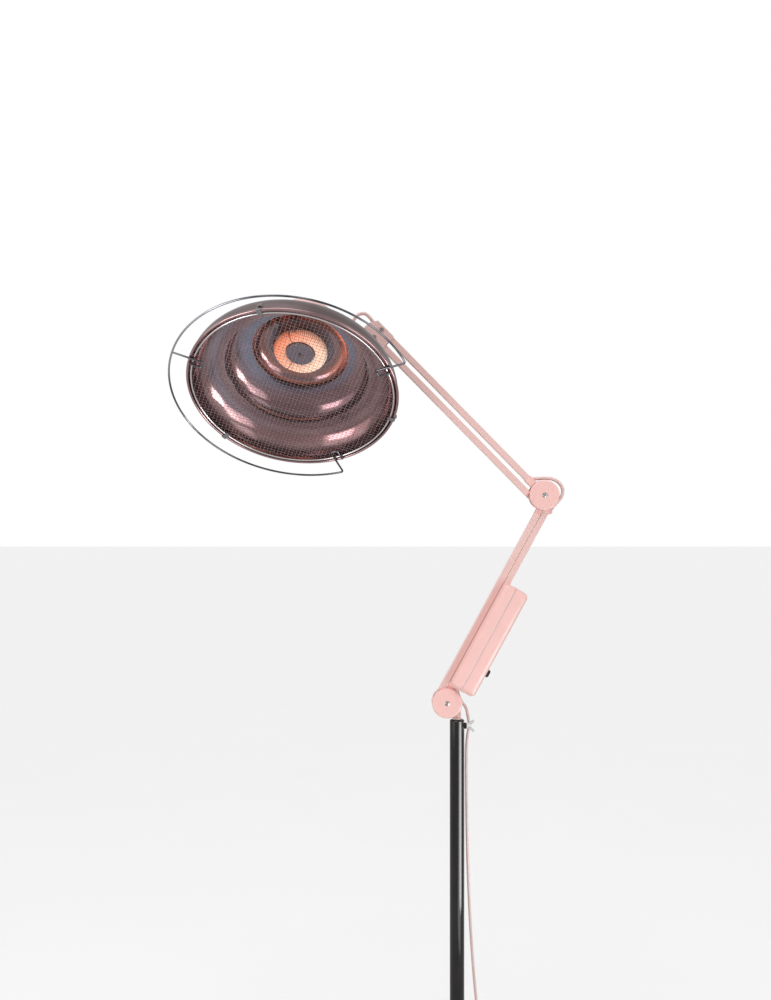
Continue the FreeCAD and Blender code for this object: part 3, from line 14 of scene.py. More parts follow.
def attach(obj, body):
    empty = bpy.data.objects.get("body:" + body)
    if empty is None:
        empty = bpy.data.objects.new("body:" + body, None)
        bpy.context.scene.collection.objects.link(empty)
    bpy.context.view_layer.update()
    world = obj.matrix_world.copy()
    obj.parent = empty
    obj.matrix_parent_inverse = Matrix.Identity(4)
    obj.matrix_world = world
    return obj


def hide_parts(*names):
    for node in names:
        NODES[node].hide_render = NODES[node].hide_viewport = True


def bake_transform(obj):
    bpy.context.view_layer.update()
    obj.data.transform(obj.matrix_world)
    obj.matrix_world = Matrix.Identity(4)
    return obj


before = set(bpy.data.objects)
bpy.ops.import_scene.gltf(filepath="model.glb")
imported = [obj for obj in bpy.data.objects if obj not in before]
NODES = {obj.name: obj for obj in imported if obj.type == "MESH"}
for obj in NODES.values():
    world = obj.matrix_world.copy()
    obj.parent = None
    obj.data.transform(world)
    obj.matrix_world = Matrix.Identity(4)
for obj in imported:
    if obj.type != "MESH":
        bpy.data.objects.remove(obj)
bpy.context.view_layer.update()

MM = 0.001

# ------------ the part's own geometry
# Arm
LOWER_LEAN = math.radians(28.6)
LOWER_ALONG = Vector((math.sin(LOWER_LEAN), 0, math.cos(LOWER_LEAN)))
LOWER_ACROSS = Vector((math.cos(LOWER_LEAN), 0, -math.sin(LOWER_LEAN)))
UPPER_RISE = math.radians(45.5)
UPPER_ALONG = Vector((-math.cos(UPPER_RISE), 0, math.sin(UPPER_RISE)))
UPPER_ACROSS = Vector((-math.sin(UPPER_RISE), 0, -math.cos(UPPER_RISE)))
UPPER_LENGTH = 450
SHOULDER = Vector((-19.9, 0, 932.7)) * MM
ELBOW = Vector((168.95, 0, 1335.90)) * MM
ELBOW_RIGHT = Vector((186.13, 0, 1328.98)) * MM
HEAD_TOP = ELBOW + UPPER_ALONG * UPPER_LENGTH * MM
COVER_SEAT = 14.5
BOX_SEAM = 8.5

# Head: depths run from the rim plane to the back
SWIVEL = HEAD_TOP + Vector((-57.1, 0, -4.8)) * MM
HEAD_YAW = math.radians(-8.2)
HEAD_DOWN = math.radians(49.6)
TILT_AXIS = Vector((math.cos(HEAD_YAW), math.sin(HEAD_YAW), 0))
DEPTH_AXIS = Vector((-math.sin(HEAD_YAW) * math.cos(HEAD_DOWN),
                     math.cos(HEAD_YAW) * math.cos(HEAD_DOWN), math.sin(HEAD_DOWN)))
RIM_RADIUS = 197.0
DISH_DEPTH = 128.5
DISH_WALL = 1.2
BEAD_RADIUS = 2.4
STEP_RADII = [RIM_RADIUS * share for share in (0.7, 0.473, 0.323)]
STEP_DEPTHS = [DISH_DEPTH * share for share in (0.43, 0.839, 1.0)]
LEDGE_SHARE = 0.45
LEDGE_RISE_SHARE = 0.1
CAP_RADIUS = STEP_RADII[-1] + 0.4
NECK_CLEARANCE = 32
TILT_AXIS_DEPTH = 31.5
TILT_CENTRE = SWIVEL - TILT_AXIS * (CAP_RADIUS + NECK_CLEARANCE) * MM
RIM_CENTRE = TILT_CENTRE - DEPTH_AXIS * (DISH_DEPTH + TILT_AXIS_DEPTH) * MM
ELEMENT_RADIUS = STEP_RADII[-1] * 0.635
ELEMENT_TUBE = 12.0
ELEMENT_DEPTH = DISH_DEPTH - 19.5

# Guard
MESH_FRAME_RADIUS = RIM_RADIUS - 6.5
MESH_FRAME_WIRE = 1.8
MESH_FRAME_DEPTH = MESH_FRAME_WIRE * math.sin(math.radians(60)) - BEAD_RADIUS
MESH_PITCH = 7.0
MESH_ANGLE = math.radians(24)
RING_RADIUS = RIM_RADIUS + 34
RING_BEND = 5.0
RING_START = math.radians(73.3)
RING_END = math.radians(342.5)
MIDDLE_LEG = math.radians(207.5)
LEG_INNER_RADIUS = RIM_RADIUS - 25
HAIRPIN_WIDTH = 14.0


def frame_matrix(origin, x_direction, y_direction):
    """A place whose local axes lie along the two given directions and their cross."""
    z_direction = x_direction.cross(y_direction)
    axes = Matrix((x_direction, y_direction, z_direction)).transposed()
    return Matrix.Translation(origin) @ axes.to_4x4()


# The dish's own frame: x is right and y is down in the photo, z goes into the dish
DISH_FRAME = frame_matrix(RIM_CENTRE, TILT_AXIS, DEPTH_AXIS.cross(TILT_AXIS))


# ------------ camera
SENSOR_WIDTH = 36.0
LENS = 40.66
CAMERA_PLACE = (-0.1393, -2.2, 1.3266)
CLIP_END = 50.0


def add_camera():
    """The photo's view: level, straight along +Y."""
    data = bpy.data.cameras.new("camera")
    data.sensor_width = SENSOR_WIDTH
    data.lens = LENS
    data.clip_end = CLIP_END
    camera = bpy.data.objects.new("camera", data)
    camera.location = CAMERA_PLACE
    camera.rotation_euler = (math.radians(90), 0, 0)
    bpy.context.scene.collection.objects.link(camera)
    bpy.context.scene.camera = camera


# ------------ mesh helpers
SHARP_DEG = 35
TUBE_SHARP_DEG = 60
SPLINE_STEPS = 10


def link(name, mesh):
    obj = bpy.data.objects.new(name, mesh)
    bpy.context.scene.collection.objects.link(obj)
    return obj


def shade(mesh, sharp_deg):
    """Smooth shading with sharp edges where faces meet at more than an angle."""
    mesh.shade_smooth()
    mesh.set_sharp_from_angle(angle=math.radians(sharp_deg))


def mesh_from(name, vertices, faces, sharp_deg):
    mesh = bpy.data.meshes.new(name)
    mesh.from_pydata([tuple(v) for v in vertices], [], faces)
    shade(mesh, sharp_deg)
    return mesh


def spline_points(controls):
    """The line of a NURBS spline through the route's control points, as Blender gives it."""
    curve = bpy.data.curves.new("route", "CURVE")
    curve.dimensions = "3D"
    curve.resolution_u = SPLINE_STEPS
    spline = curve.splines.new("NURBS")
    spline.points.add(len(controls) - 1)
    for point, place in zip(spline.points, controls):
        point.co = (*place, 1.0)
    spline.order_u = 3
    spline.use_endpoint_u = True
    holder = bpy.data.objects.new("route", curve)
    mesh = bpy.data.meshes.new_from_object(holder)
    line = [vertex.co.copy() for vertex in mesh.vertices]
    bpy.data.objects.remove(holder)
    bpy.data.curves.remove(curve)
    bpy.data.meshes.remove(mesh)
    return line


def line_tangents(line, closed):
    count = len(line)
    tangents = []
    for index in range(count):
        if closed:
            step = line[(index + 1) % count] - line[index - 1]
        else:
            step = line[min(index + 1, count - 1)] - line[max(index - 1, 0)]
        tangents.append(step.normalized())
    return tangents


def tube_data(line, radius, sides, closed, first):
    """Vertices and faces of a round tube along a line of points, carried without twist."""
    count = len(line)
    tangents = line_tangents(line, closed)
    side = tangents[0].orthogonal().normalized()
    sides_at = []
    for index in range(count):
        if index:
            turn = tangents[index - 1].rotation_difference(tangents[index])
            side = turn @ side
            side = (side - tangents[index] * side.dot(tangents[index])).normalized()
        sides_at.append(side)
    drift = 0.0
    if closed:
        carried = tangents[-1].rotation_difference(tangents[0]) @ sides_at[-1]
        other = tangents[0].cross(sides_at[0])
        drift = math.atan2(carried.dot(other), carried.dot(sides_at[0]))
    vertices = []
    for index, (point, tangent, side) in enumerate(zip(line, tangents, sides_at)):
        other = tangent.cross(side)
        for step in range(sides):
            angle = 2 * math.pi * step / sides - drift * index / count
            vertices.append(point + (side * math.cos(angle) + other * math.sin(angle)) * radius)
    faces = []
    for index in range(count if closed else count - 1):
        low = first + index * sides
        high = first + (index + 1) % count * sides
        for step in range(sides):
            after = (step + 1) % sides
            faces.append((low + step, low + after, high + after, high + step))
    if not closed:
        last = first + (count - 1) * sides
        faces.append(tuple(first + step for step in reversed(range(sides))))
        faces.append(tuple(last + step for step in range(sides)))
    return vertices, faces


def tubes(name, lines, radius, sides=14, closed=False):
    """One mesh with a round tube along each line."""
    vertices = []
    faces = []
    for line in lines:
        more_vertices, more_faces = tube_data(line, radius, sides, closed, len(vertices))
        vertices += more_vertices
        faces += more_faces
    return link(name, mesh_from(name, vertices, faces, TUBE_SHARP_DEG))


def revolve(name, profile, segments, sharp_deg=SHARP_DEG):
    """A closed outline of (radius, height) points turned about local Z."""
    count = len(profile)
    area = sum(a[0] * b[1] - b[0] * a[1] for a, b in zip(profile, profile[1:] + profile[:1]))
    vertices = []
    for segment in range(segments):
        angle = 2 * math.pi * segment / segments
        vertices += [(r * math.cos(angle), r * math.sin(angle), h) for r, h in profile]
    faces = []
    for segment in range(segments):
        low = segment * count
        high = (segment + 1) % segments * count
        for index in range(count):
            after = (index + 1) % count
            corners = (low + index, high + index, high + after, low + after)
            faces.append(corners if area > 0 else corners[::-1])
    return link(name, mesh_from(name, vertices, faces, sharp_deg))


def ellipse_points(centre, half_x, half_y, start_deg, end_deg, count):
    points = []
    for index in range(count + 1):
        angle = math.radians(start_deg + (end_deg - start_deg) * index / count)
        points.append((centre[0] + half_x * math.cos(angle),
                       centre[1] + half_y * math.sin(angle)))
    return points


def turned_points(centre, start, angle, count):
    """Points on an arc about Z through a centre, after its start."""
    arm = start - centre
    return [centre + Matrix.Rotation(angle * step / count, 3, "Z") @ arm
            for step in range(1, count + 1)]


def in_dish(obj):
    """Puts a piece that was drawn in the dish's own millimetres in its place on the head."""
    obj.data.transform(DISH_FRAME @ Matrix.Scale(MM, 4))
    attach(obj, "lamp_head")


def length_of(line):
    return sum((b - a).length for a, b in zip(line, line[1:]))


def halved(line):
    """The line's first half, up to the point that reaches its middle, and the rest."""
    half = length_of(line) / 2
    run = 0.0
    index = 0
    while run < half:
        index += 1
        run += (line[index] - line[index - 1]).length
    return line[:index + 1], line[index:]


# ------------ material helpers
NOISE_LOW = 0.3
NOISE_HIGH = 0.7
TINT_DETAIL = 4.0
GLOSS_DETAIL = 5.0
BEVEL_SAMPLES = 6
# Where the painted edge highlights start and where they are full, as the dot of the bevelled and
# the true normal
EDGE_HIGHLIGHT_FROM = 0.99
EDGE_HIGHLIGHT_TO = 0.80
GROOVE_SHADE = 0.7
# Places of the colours among a Mix node's inputs, and of the result among its outputs
MIX_A = 6
MIX_B = 7
MIX_RESULT = 2


def add_node(tree, kind, inputs=None, **settings):
    """A new shader node; inputs are values or outputs to link, by name or by number."""
    node = tree.nodes.new("ShaderNode" + kind)
    for name, value in settings.items():
        setattr(node, name, value)
    for key, value in (inputs or {}).items():
        if isinstance(value, bpy.types.NodeSocket):
            tree.links.new(value, node.inputs[key])
        else:
            node.inputs[key].default_value = value
    return node


def scaled(colour, share):
    return tuple(value * share for value in colour)


class Finish:
    """A Principled material with helpers that lay procedural detail over it."""

    def __init__(self, name, colour, roughness, metallic=0.0, specular=0.5):
        self.material = bpy.data.materials.new(name)
        self.material.use_nodes = True
        self.tree = self.material.node_tree
        self.shader = self.tree.nodes["Principled BSDF"]
        self.colour = colour
        self.shader.inputs["Base Color"].default_value = (*colour, 1)
        self.shader.inputs["Roughness"].default_value = roughness
        self.shader.inputs["Metallic"].default_value = metallic
        self.shader.inputs["Specular IOR Level"].default_value = specular
        self.coordinates = self.add("TexCoord").outputs["Object"]
        self.bump = None

    def add(self, kind, inputs=None, **settings):
        return add_node(self.tree, kind, inputs, **settings)

    def feed(self, name, output):
        """Links an output to one of the shader's inputs."""
        self.tree.links.new(output, self.shader.inputs[name])
        return self

    def lights_nothing_directly(self):
        """The glow is seen but isn't sampled as a lamp, which would leave the rest grainy."""
        self.material.cycles.emission_sampling = "NONE"
        return self

    def use_dish_frame(self):
        """From here on the coordinates are the dish's own, in metres."""
        mapping = self.add("Mapping", {"Vector": self.coordinates}, vector_type="TEXTURE")
        mapping.inputs["Location"].default_value = DISH_FRAME.to_translation()
        mapping.inputs["Rotation"].default_value = DISH_FRAME.to_euler()
        self.coordinates = mapping.outputs["Vector"]
        return self

    def along(self, direction):
        """How far each point lies along a direction."""
        inputs = {0: self.coordinates, 1: direction}
        return self.add("VectorMath", inputs, operation="DOT_PRODUCT").outputs["Value"]

    def maths(self, operation, *values):
        return self.add("Math", dict(enumerate(values)), operation=operation).outputs[0]

    def mapped(self, value, start, end, low=0.0, high=1.0, interpolation="LINEAR"):
        """A value that runs from low to high while another runs from start to end."""
        inputs = {"Value": value, "From Min": start, "From Max": end, "To Min": low,
                  "To Max": high}
        return self.add("MapRange", inputs, interpolation_type=interpolation).outputs["Result"]

    def noise(self, scale, detail):
        """A noise factor; scale is in cells per metre."""
        inputs = {"Vector": self.coordinates, "Scale": scale, "Detail": detail}
        return self.add("TexNoise", inputs).outputs["Fac"]

    def ranged(self, factor, low, high):
        """The middle part of a noise factor, mapped from low to high."""
        return self.mapped(factor, NOISE_LOW, NOISE_HIGH, low, high)

    def mix(self, factor, *colours):
        """A colour between two colours or colour outputs."""
        a, b = (colour if isinstance(colour, bpy.types.NodeSocket) else (*colour, 1)
                for colour in colours)
        inputs = {0: factor, MIX_A: a, MIX_B: b}
        return self.add("Mix", inputs, data_type="RGBA").outputs[MIX_RESULT]

    def mix_over(self, factor, colour):
        """Another colour over the present one where the factor is 1."""
        links = self.shader.inputs["Base Color"].links
        present = links[0].from_socket if links else self.colour
        return self.feed("Base Color", self.mix(factor, present, colour))

    def tint(self, scale, other, share=1.0):
        """Patches of another colour."""
        factor = self.ranged(self.noise(scale, TINT_DETAIL), 0, share)
        return self.feed("Base Color", self.mix(factor, self.colour, other))

    def gloss(self, scale, low, high):
        """Roughness that wanders between two values."""
        return self.feed("Roughness", self.ranged(self.noise(scale, GLOSS_DETAIL), low, high))

    def relief(self, height, depth, strength=1.0):
        """A bump from a height factor; depth is in metres."""
        inputs = {"Height": height, "Distance": depth, "Strength": strength}
        if self.bump:
            inputs["Normal"] = self.bump
        self.bump = self.add("Bump", inputs).outputs["Normal"]
        return self.feed("Normal", self.bump)

    def grain(self, scale, detail, depth):
        """A fine unevenness all over."""
        return self.relief(self.noise(scale, detail), depth)

    def bevelled_normal(self, radius):
        return self.add("Bevel", {"Radius": radius}, samples=BEVEL_SAMPLES).outputs["Normal"]

    def soft_edges(self, radius):
        """Normals that turn smoothly over the edges, as a thin coat of enamel does."""
        self.bump = self.bevelled_normal(radius)
        return self.feed("Normal", self.bump)

    def painted_edge_highlights(self, radius, colour):
        """Painted edge highlights: the bevelled normal leaves the true one near edges, which take
        another colour.
        """
        inputs = {0: self.bevelled_normal(radius), 1: self.add("NewGeometry").outputs["Normal"]}
        alike = self.add("VectorMath", inputs, operation="DOT_PRODUCT").outputs["Value"]
        return self.mix_over(self.mapped(alike, EDGE_HIGHLIGHT_FROM, EDGE_HIGHLIGHT_TO), colour)

    def groove(self, direction, place, half_width, depth):
        """A narrow sunk line with painted shade where the surface crosses a plane."""
        in_line = self.maths("COMPARE", self.along(direction), place, half_width)
        self.mix_over(in_line, scaled(self.colour, GROOVE_SHADE))
        return self.relief(self.maths("SUBTRACT", 1.0, in_line), depth)

    def paint(self, *names):
        """Gives CAD nodes this finish."""
        for name in names:
            self.cover(NODES[name])

    def cover(self, obj):
        obj.data.materials.clear()
        obj.data.materials.append(self.material)
        return obj


# ------------ finishes
PINK = (0.87, 0.58, 0.54)
SHELL_PINK = (0.965, 0.575, 0.53)
# The colour of the painted highlights on pink edges
PINK_EDGE_HIGHLIGHT = (0.98, 0.92, 0.90)
PINK_DEEP = (0.80, 0.51, 0.47)


def pink_enamel():
    finish = Finish("pink_enamel", PINK, 0.4)
    finish.tint(14, PINK_DEEP, share=0.4).gloss(60, low=0.28, high=0.44)
    # Painted highlights on the edges
    finish.painted_edge_highlights(0.0016, PINK_EDGE_HIGHLIGHT).soft_edges(0.0012)
    return finish.grain(900, 2.0, depth=0.00001)


def pink_moulding():
    finish = Finish("pink_moulding", SHELL_PINK, 0.42)
    finish.tint(22, PINK_DEEP, share=0.35).gloss(90, low=0.36, high=0.52)
    # Painted highlights on the edges
    finish.painted_edge_highlights(0.0016, PINK_EDGE_HIGHLIGHT).soft_edges(0.0012)
    return finish.grain(1300, 2.0, depth=0.00001)


def box_moulding():
    """The control box's own moulding, with well-rounded edges that carry painted highlights, and
    a painted shadow in its seam.
    """
    finish = Finish("box_moulding", SHELL_PINK, 0.34)
    finish.tint(22, PINK_DEEP, share=0.3).gloss(90, low=0.42, high=0.56)
    # Painted highlights on the edges
    finish.painted_edge_highlights(0.003, PINK_EDGE_HIGHLIGHT).soft_edges(0.004)
    seam = SHOULDER.dot(LOWER_ACROSS) + BOX_SEAM * MM
    finish.groove(LOWER_ACROSS, seam, half_width=0.0004, depth=0.0004)
    return finish.grain(1300, 2.0, depth=0.00001)


def pink_sheath():
    finish = Finish("pink_sheath", (0.84, 0.60, 0.57), 0.5)
    finish.tint(120, (0.78, 0.53, 0.50), share=0.5).gloss(300, low=0.42, high=0.6)
    return finish.grain(900, 2.0, depth=0.00004)


def black_enamel():
    finish = Finish("black_enamel", (0.004, 0.003, 0.003), 0.08, specular=0.3)
    finish.tint(30, (0.010, 0.007, 0.007)).gloss(120, low=0.06, high=0.14)
    finish.soft_edges(0.0008)
    return finish.grain(500, 2.0, depth=0.00001)


def black_moulding():
    finish = Finish("black_moulding", (0.008, 0.008, 0.009), 0.34, specular=0.25)
    finish.tint(300, (0.02, 0.02, 0.02)).gloss(500, low=0.26, high=0.45)
    # Faint painted highlights on the edges
    finish.painted_edge_highlights(0.0005, (0.05, 0.05, 0.05)).soft_edges(0.0004)
    return finish.grain(3500, 3.0, depth=0.00003)


def rubber():
    finish = Finish("rubber", (0.02, 0.02, 0.02), 0.75)
    finish.tint(150, (0.05, 0.048, 0.045)).gloss(200, low=0.65, high=0.9)
    return finish.grain(1800, 3.0, depth=0.00008)


def plating(name, colour, low, high):
    """Plated or plain metal; low and high are its roughness."""
    finish = Finish(name, colour, low, metallic=1.0)
    finish.tint(160, scaled(colour, 0.8), share=0.6).gloss(400, low, high)
    return finish.grain(2500, 2.0, depth=0.00001)


def ceramic(name, colour, other, roughness):
    finish = Finish(name, colour, roughness)
    finish.tint(220, other, share=0.8).gloss(300, roughness - 0.1, roughness + 0.1)
    return finish.grain(1500, 4.0, depth=0.00012)


def circuit_board():
    finish = Finish("circuit_board", (0.04, 0.16, 0.07), 0.45)
    finish.tint(120, (0.07, 0.24, 0.10)).gloss(400, low=0.35, high=0.6)
    return finish.grain(700, 1.0, depth=0.0001)


def finish_nodes():
    """Gives every CAD node that stays visible its own finish."""
    pink_enamel().paint(
        "shoulder_bracket", "lower_bar_left", "lower_bar_right", "upper_bar_top",
        "upper_bar_bottom", "elbow_plates", "head_bracket", "back_cap")
    pink_moulding().paint(
        "shoulder_cover_front", "shoulder_cover_rear", "elbow_cover_front", "elbow_cover_rear",
        "lower_bar_left_ends", "lower_bar_right_ends", "upper_bar_top_ends",
        "upper_bar_bottom_ends", "neck")
    box_moulding().paint("control_box_rear", "control_box_front")
    pink_sheath().paint("plug", "cord_relief")
    black_enamel().paint("base_hub", "base_legs", "column", "column_cap")
    black_moulding().paint("switch_body", "power_knob", "rocker_switch")
    rubber().paint("base_feet")
    plating("plain_steel", (0.50, 0.50, 0.52), 0.22, 0.38).paint(
        "shoulder_spigot", "shoulder_pins", "elbow_pins", "elbow_spacers", "swivel_bolt",
        "tilt_lock_ring", "balance_spring", "potentiometer")
    plating("dark_steel", (0.13, 0.11, 0.10), 0.28, 0.45).paint(
        "control_box_screws", "cap_screws", "clip_screws", "holder_screw")
    plating("pin_steel", (0.24, 0.19, 0.19), 0.25, 0.4).paint("head_pins")
    plating("bright_plate", (0.70, 0.70, 0.72), 0.06, 0.16).paint("wing_screw")
    plating("clip_plate", (0.20, 0.19, 0.20), 0.1, 0.2).paint("mesh_clips")
    plating("hot_steel", (0.20, 0.13, 0.10), 0.35, 0.55).paint("element_ties")
    plating("satin_plate", (0.17, 0.15, 0.18), 0.3, 0.45).paint("back_plate")
    ceramic("white_ceramic", (0.88, 0.86, 0.82), (0.80, 0.77, 0.72), 0.3).paint("terminal_block")
    ceramic("dark_ceramic", (0.17, 0.10, 0.08), (0.26, 0.16, 0.13), 0.5).paint(
        "element_terminals")
    ceramic("centre_ceramic", (0.17, 0.145, 0.19), (0.24, 0.19, 0.23), 0.45).paint(
        "element_holder")
    circuit_board().paint("power_board")


# ------------ dish
DISH_SEGMENTS = 192
WALL_CHORDS = 14
BEAD_CHORDS = 20
BEAD_ARC_DEG = (60, -240)
LEDGE_POINTS = (0.33, 0.66)
DISH_SHARP_DEG = 40
PATCH_SHARE = 0.6
PATCH_SHADE = 0.66
# The radial part of each bowl's smoothed normals, from the rim to the back, as a share of a
# true ellipse's
BOWL_LEANS = (1.0, 0.4, 1.0)

# A band of painted reflection round the dish's middle: its radius and reach in metres, its share,
# the side of the dish that it keeps to, if any, and the strength of its painted glow
Band = namedtuple("Band", "radius reach colour share side glow", defaults=(None, 0))
# A band on one side comes in between these shares of its radius, measured towards that side
SIDE_START = 0.2
SIDE_END = 0.9
# Fixed colours that stand in for what the bowls mirror in the photo: the blue backdrop, the
# hot element and the dark room below
DISH_BANDS = (
    Band(0.101, 0.013, (0.17, 0.21, 0.29), 0.85),
    Band(0.112, 0.020, (0.20, 0.23, 0.31), 0.7, (-1.0, 0.1, 0)),
    Band(0.160, 0.020, (0.24, 0.24, 0.30), 0.6, (-1.0, -0.1, 0)),
    Band(0.078, 0.008, (0.34, 0.13, 0.09), 0.6),
    Band(0.084, 0.009, (0.95, 0.30, 0.19), 0.95, (1.0, -0.2, 0), 0.34),
    Band(0.0915, 0.0028, (0.72, 0.40, 0.34), 0.75),
    Band(0.1370, 0.0014, (0.62, 0.56, 0.60), 0.8),
    Band(0.120, 0.100, (0.12, 0.065, 0.075), 0.75, (0.15, 1.0, 0)),
    Band(0.180, 0.014, (0.24, 0.11, 0.115), 0.5, (0.2, 1.0, 0)))


def dish_metal(name, colour, other, low, high, bands=()):
    """Spun aluminium: colour and gloss change from ring to ring, under fine tool lines, with
    bands of painted reflection over it, one of them glowing.
    """
    finish = Finish(name, colour, low, metallic=1.0).use_dish_frame()
    flat = finish.add("VectorMath", {0: finish.coordinates, 1: (1, 1, 0)}, operation="MULTIPLY")
    radius = finish.add("VectorMath", {0: flat.outputs["Vector"]},
                        operation="LENGTH").outputs["Value"]

    def rings(scale, detail):
        inputs = {"W": radius, "Scale": scale, "Detail": detail}
        return finish.add("TexNoise", inputs, noise_dimensions="1D").outputs["Fac"]

    def band_factor(band):
        away = finish.maths("ABSOLUTE", finish.maths("SUBTRACT", radius, band.radius))
        factor = finish.mapped(away, 0, band.reach, band.share, 0, "SMOOTHSTEP")
        if not band.side:
            return factor
        on_side = finish.mapped(finish.along(band.side), band.radius * SIDE_START,
                                band.radius * SIDE_END)
        return finish.maths("MULTIPLY", factor, on_side)

    ringed = finish.mix(finish.ranged(rings(90, 3.0), 0, 1), colour, other)
    patches = finish.ranged(finish.noise(14, 4.0), 0, PATCH_SHARE)
    tone_and_painted_reflections = finish.mix(patches, ringed, scaled(other, PATCH_SHADE))
    # Each band paints a reflection over the metal
    for band in bands:
        factor = band_factor(band)
        tone_and_painted_reflections = finish.mix(factor, tone_and_painted_reflections, band.colour)
        # The band that paints the hot element's reflection also glows
        if band.glow:
            finish.feed("Emission Strength", finish.maths("MULTIPLY", factor, band.glow))
            finish.shader.inputs["Emission Color"].default_value = (*band.colour, 1)
            finish.lights_nothing_directly()
    finish.feed("Base Color", tone_and_painted_reflections)
    finish.feed("Roughness", finish.ranged(rings(500, 4.0), low, high))
    return finish.relief(rings(1400, 2.0), depth=0.000015, strength=0.5)


def dish_line():
    """The stepped meridian from rim to back: quarter-round walls and nearly flat ledges."""
    points = []
    radius, depth = RIM_RADIUS, 0.0
    for step_radius, step_depth in zip(STEP_RADII, STEP_DEPTHS):
        ledge_radius = step_radius + (radius - step_radius) * LEDGE_SHARE
        ledge_depth = step_depth - (step_depth - depth) * LEDGE_RISE_SHARE
        points += ellipse_points((ledge_radius, depth), radius - ledge_radius,
                                 ledge_depth - depth, 0, 90, WALL_CHORDS)
        for share in LEDGE_POINTS:
            points.append((ledge_radius + (step_radius - ledge_radius) * share,
                           ledge_depth + (step_depth - ledge_depth) * share))
        radius, depth = step_radius, step_depth
    points.append((radius, depth))
    return points


def bowl_normal(r, middle):
    """The normal at radius r of one smooth bowl, which is the step that holds the middle."""
    radius, depth = RIM_RADIUS, 0.0
    for step_radius, step_depth, lean in zip(STEP_RADII, STEP_DEPTHS, BOWL_LEANS):
        if middle > step_radius:
            break
        radius, depth = step_radius, step_depth
    share = min(1.0, max(0.0, (r - step_radius) / (radius - step_radius)))
    normal = Vector((lean * share / (radius - step_radius),
                     math.sqrt(1 - share * share) / (step_depth - depth)))
    return -normal.normalized()


def make_reflector():
    """The dish, whose inside is shaded as three smooth bowls over its stepped mesh."""
    inner = dish_line()
    outer = [(r + DISH_WALL, d + DISH_WALL) for r, d in inner]
    bead = ellipse_points((RIM_RADIUS + DISH_WALL / 2, 0), BEAD_RADIUS, BEAD_RADIUS,
                          *BEAD_ARC_DEG, BEAD_CHORDS)
    profile = bead + inner[1:] + outer[:0:-1]
    shell = revolve("dish", profile, DISH_SEGMENTS, DISH_SHARP_DEG)
    inside = dish_metal("dish_inside", (0.34, 0.23, 0.23), (0.22, 0.125, 0.13), 0.1, 0.2,
                        DISH_BANDS)
    outside = dish_metal("dish_outside", (0.15, 0.115, 0.115), (0.11, 0.08, 0.08), 0.34, 0.46)
    inside.cover(shell).data.materials.append(outside.material)
    count = len(profile)
    first_outer = len(bead) + len(inner) - 1
    normals = [Vector((0, 0, 0))] * len(shell.data.loops)
    for index, polygon in enumerate(shell.data.polygons):
        row = index % count
        polygon.material_index = 1 if row >= first_outer else 0
        if not len(bead) <= row < first_outer - 1:
            continue
        middle = (profile[row][0] + profile[row + 1][0]) / 2
        for loop in polygon.loop_indices:
            segment, place = divmod(shell.data.loops[loop].vertex_index, count)
            angle = 2 * math.pi * segment / DISH_SEGMENTS
            out, up = bowl_normal(profile[place][0], middle)
            normals[loop] = Vector((out * math.cos(angle), out * math.sin(angle), up))
    shell.data.normals_split_custom_set(normals)
    in_dish(shell)
    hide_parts("reflector")


# ------------ guard
# Radii of the drawn wires: thinner than the CAD's square mesh wires, and between the flats and
# the corners of its guard wire
MESH_WIRE = 0.34
RING_WIRE = 1.96
MESH_SIDES = 6
HOOP_SIDES = 12
HOOP_STEP_DEG = 2
# How far a mesh wire rises or dips at a crossing, in wire radii
WEAVE = 1.05
RING_GAP = 0.1
# How much tighter the hairpins bend than the ring, and how far inside the rim they end
TIGHTER_BEND = 1
WELD_DEPTH = 1
HAIRPIN_CHORDS = 6
BEND_CHORDS = 8
RING_CHORDS = 170
# The ring's brighter arc, a fixed colour that stands in for a reflection, comes in between
# these shares of its radius, measured towards the upper left
RING_BRIGHT_SIDE = (-0.75, -0.66, 0)
RING_BRIGHT_START = 0.78
RING_BRIGHT_END = 0.97


def woven_line(offset, flip):
    """One mesh wire that goes over and under the wires it crosses, in the dish's frame."""
    half = math.sqrt(MESH_FRAME_RADIUS ** 2 - offset ** 2)
    level = MESH_FRAME_DEPTH + MESH_FRAME_WIRE + 2 * MESH_WIRE
    row = round(offset / MESH_PITCH)
    reach = int(half / MESH_PITCH)
    points = [Vector((-half, offset, level))]
    for crossing in range(-reach, reach + 1):
        wave = 1 if (crossing + row) % 2 else -1
        height = level + flip * wave * MESH_WIRE * WEAVE
        points.append(Vector((crossing * MESH_PITCH, offset, height)))
        if crossing < reach:
            points.append(Vector(((crossing + 0.5) * MESH_PITCH, offset, level)))
    points.append(Vector((half, offset, level)))
    return points


def make_mesh_wires():
    """Two crossing layers of woven wires, which stand for the CAD's straight ones."""
    count = int(MESH_FRAME_RADIUS / MESH_PITCH)
    lines = []
    for layer in (0, 1):
        turn = Matrix.Rotation(MESH_ANGLE + layer * math.pi / 2, 3, "Z")
        for index in range(-count, count + 1):
            row = -index if layer else index
            flip = -1 if layer else 1
            line = woven_line(row * MESH_PITCH, flip)
            lines.append([turn @ point for point in line])
    wires = tubes("mesh_wires", lines, MESH_WIRE, MESH_SIDES)
    plating("mesh_plate", (0.32, 0.26, 0.26), 0.12, 0.25).cover(wires)
    in_dish(wires)
    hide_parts("mesh_guard")


def make_mesh_hoop():
    """The round wire that holds the mesh."""
    circle = [Vector((x, y, MESH_FRAME_DEPTH)) for x, y in
              ellipse_points((0, 0), MESH_FRAME_RADIUS, MESH_FRAME_RADIUS,
                             0, 360 - HOOP_STEP_DEG, 360 // HOOP_STEP_DEG - 1)]
    hoop = tubes("mesh_hoop", [circle], MESH_FRAME_WIRE, HOOP_SIDES, closed=True)
    plating("hoop_plate", (0.48, 0.45, 0.45), 0.1, 0.2).cover(hoop)
    in_dish(hoop)


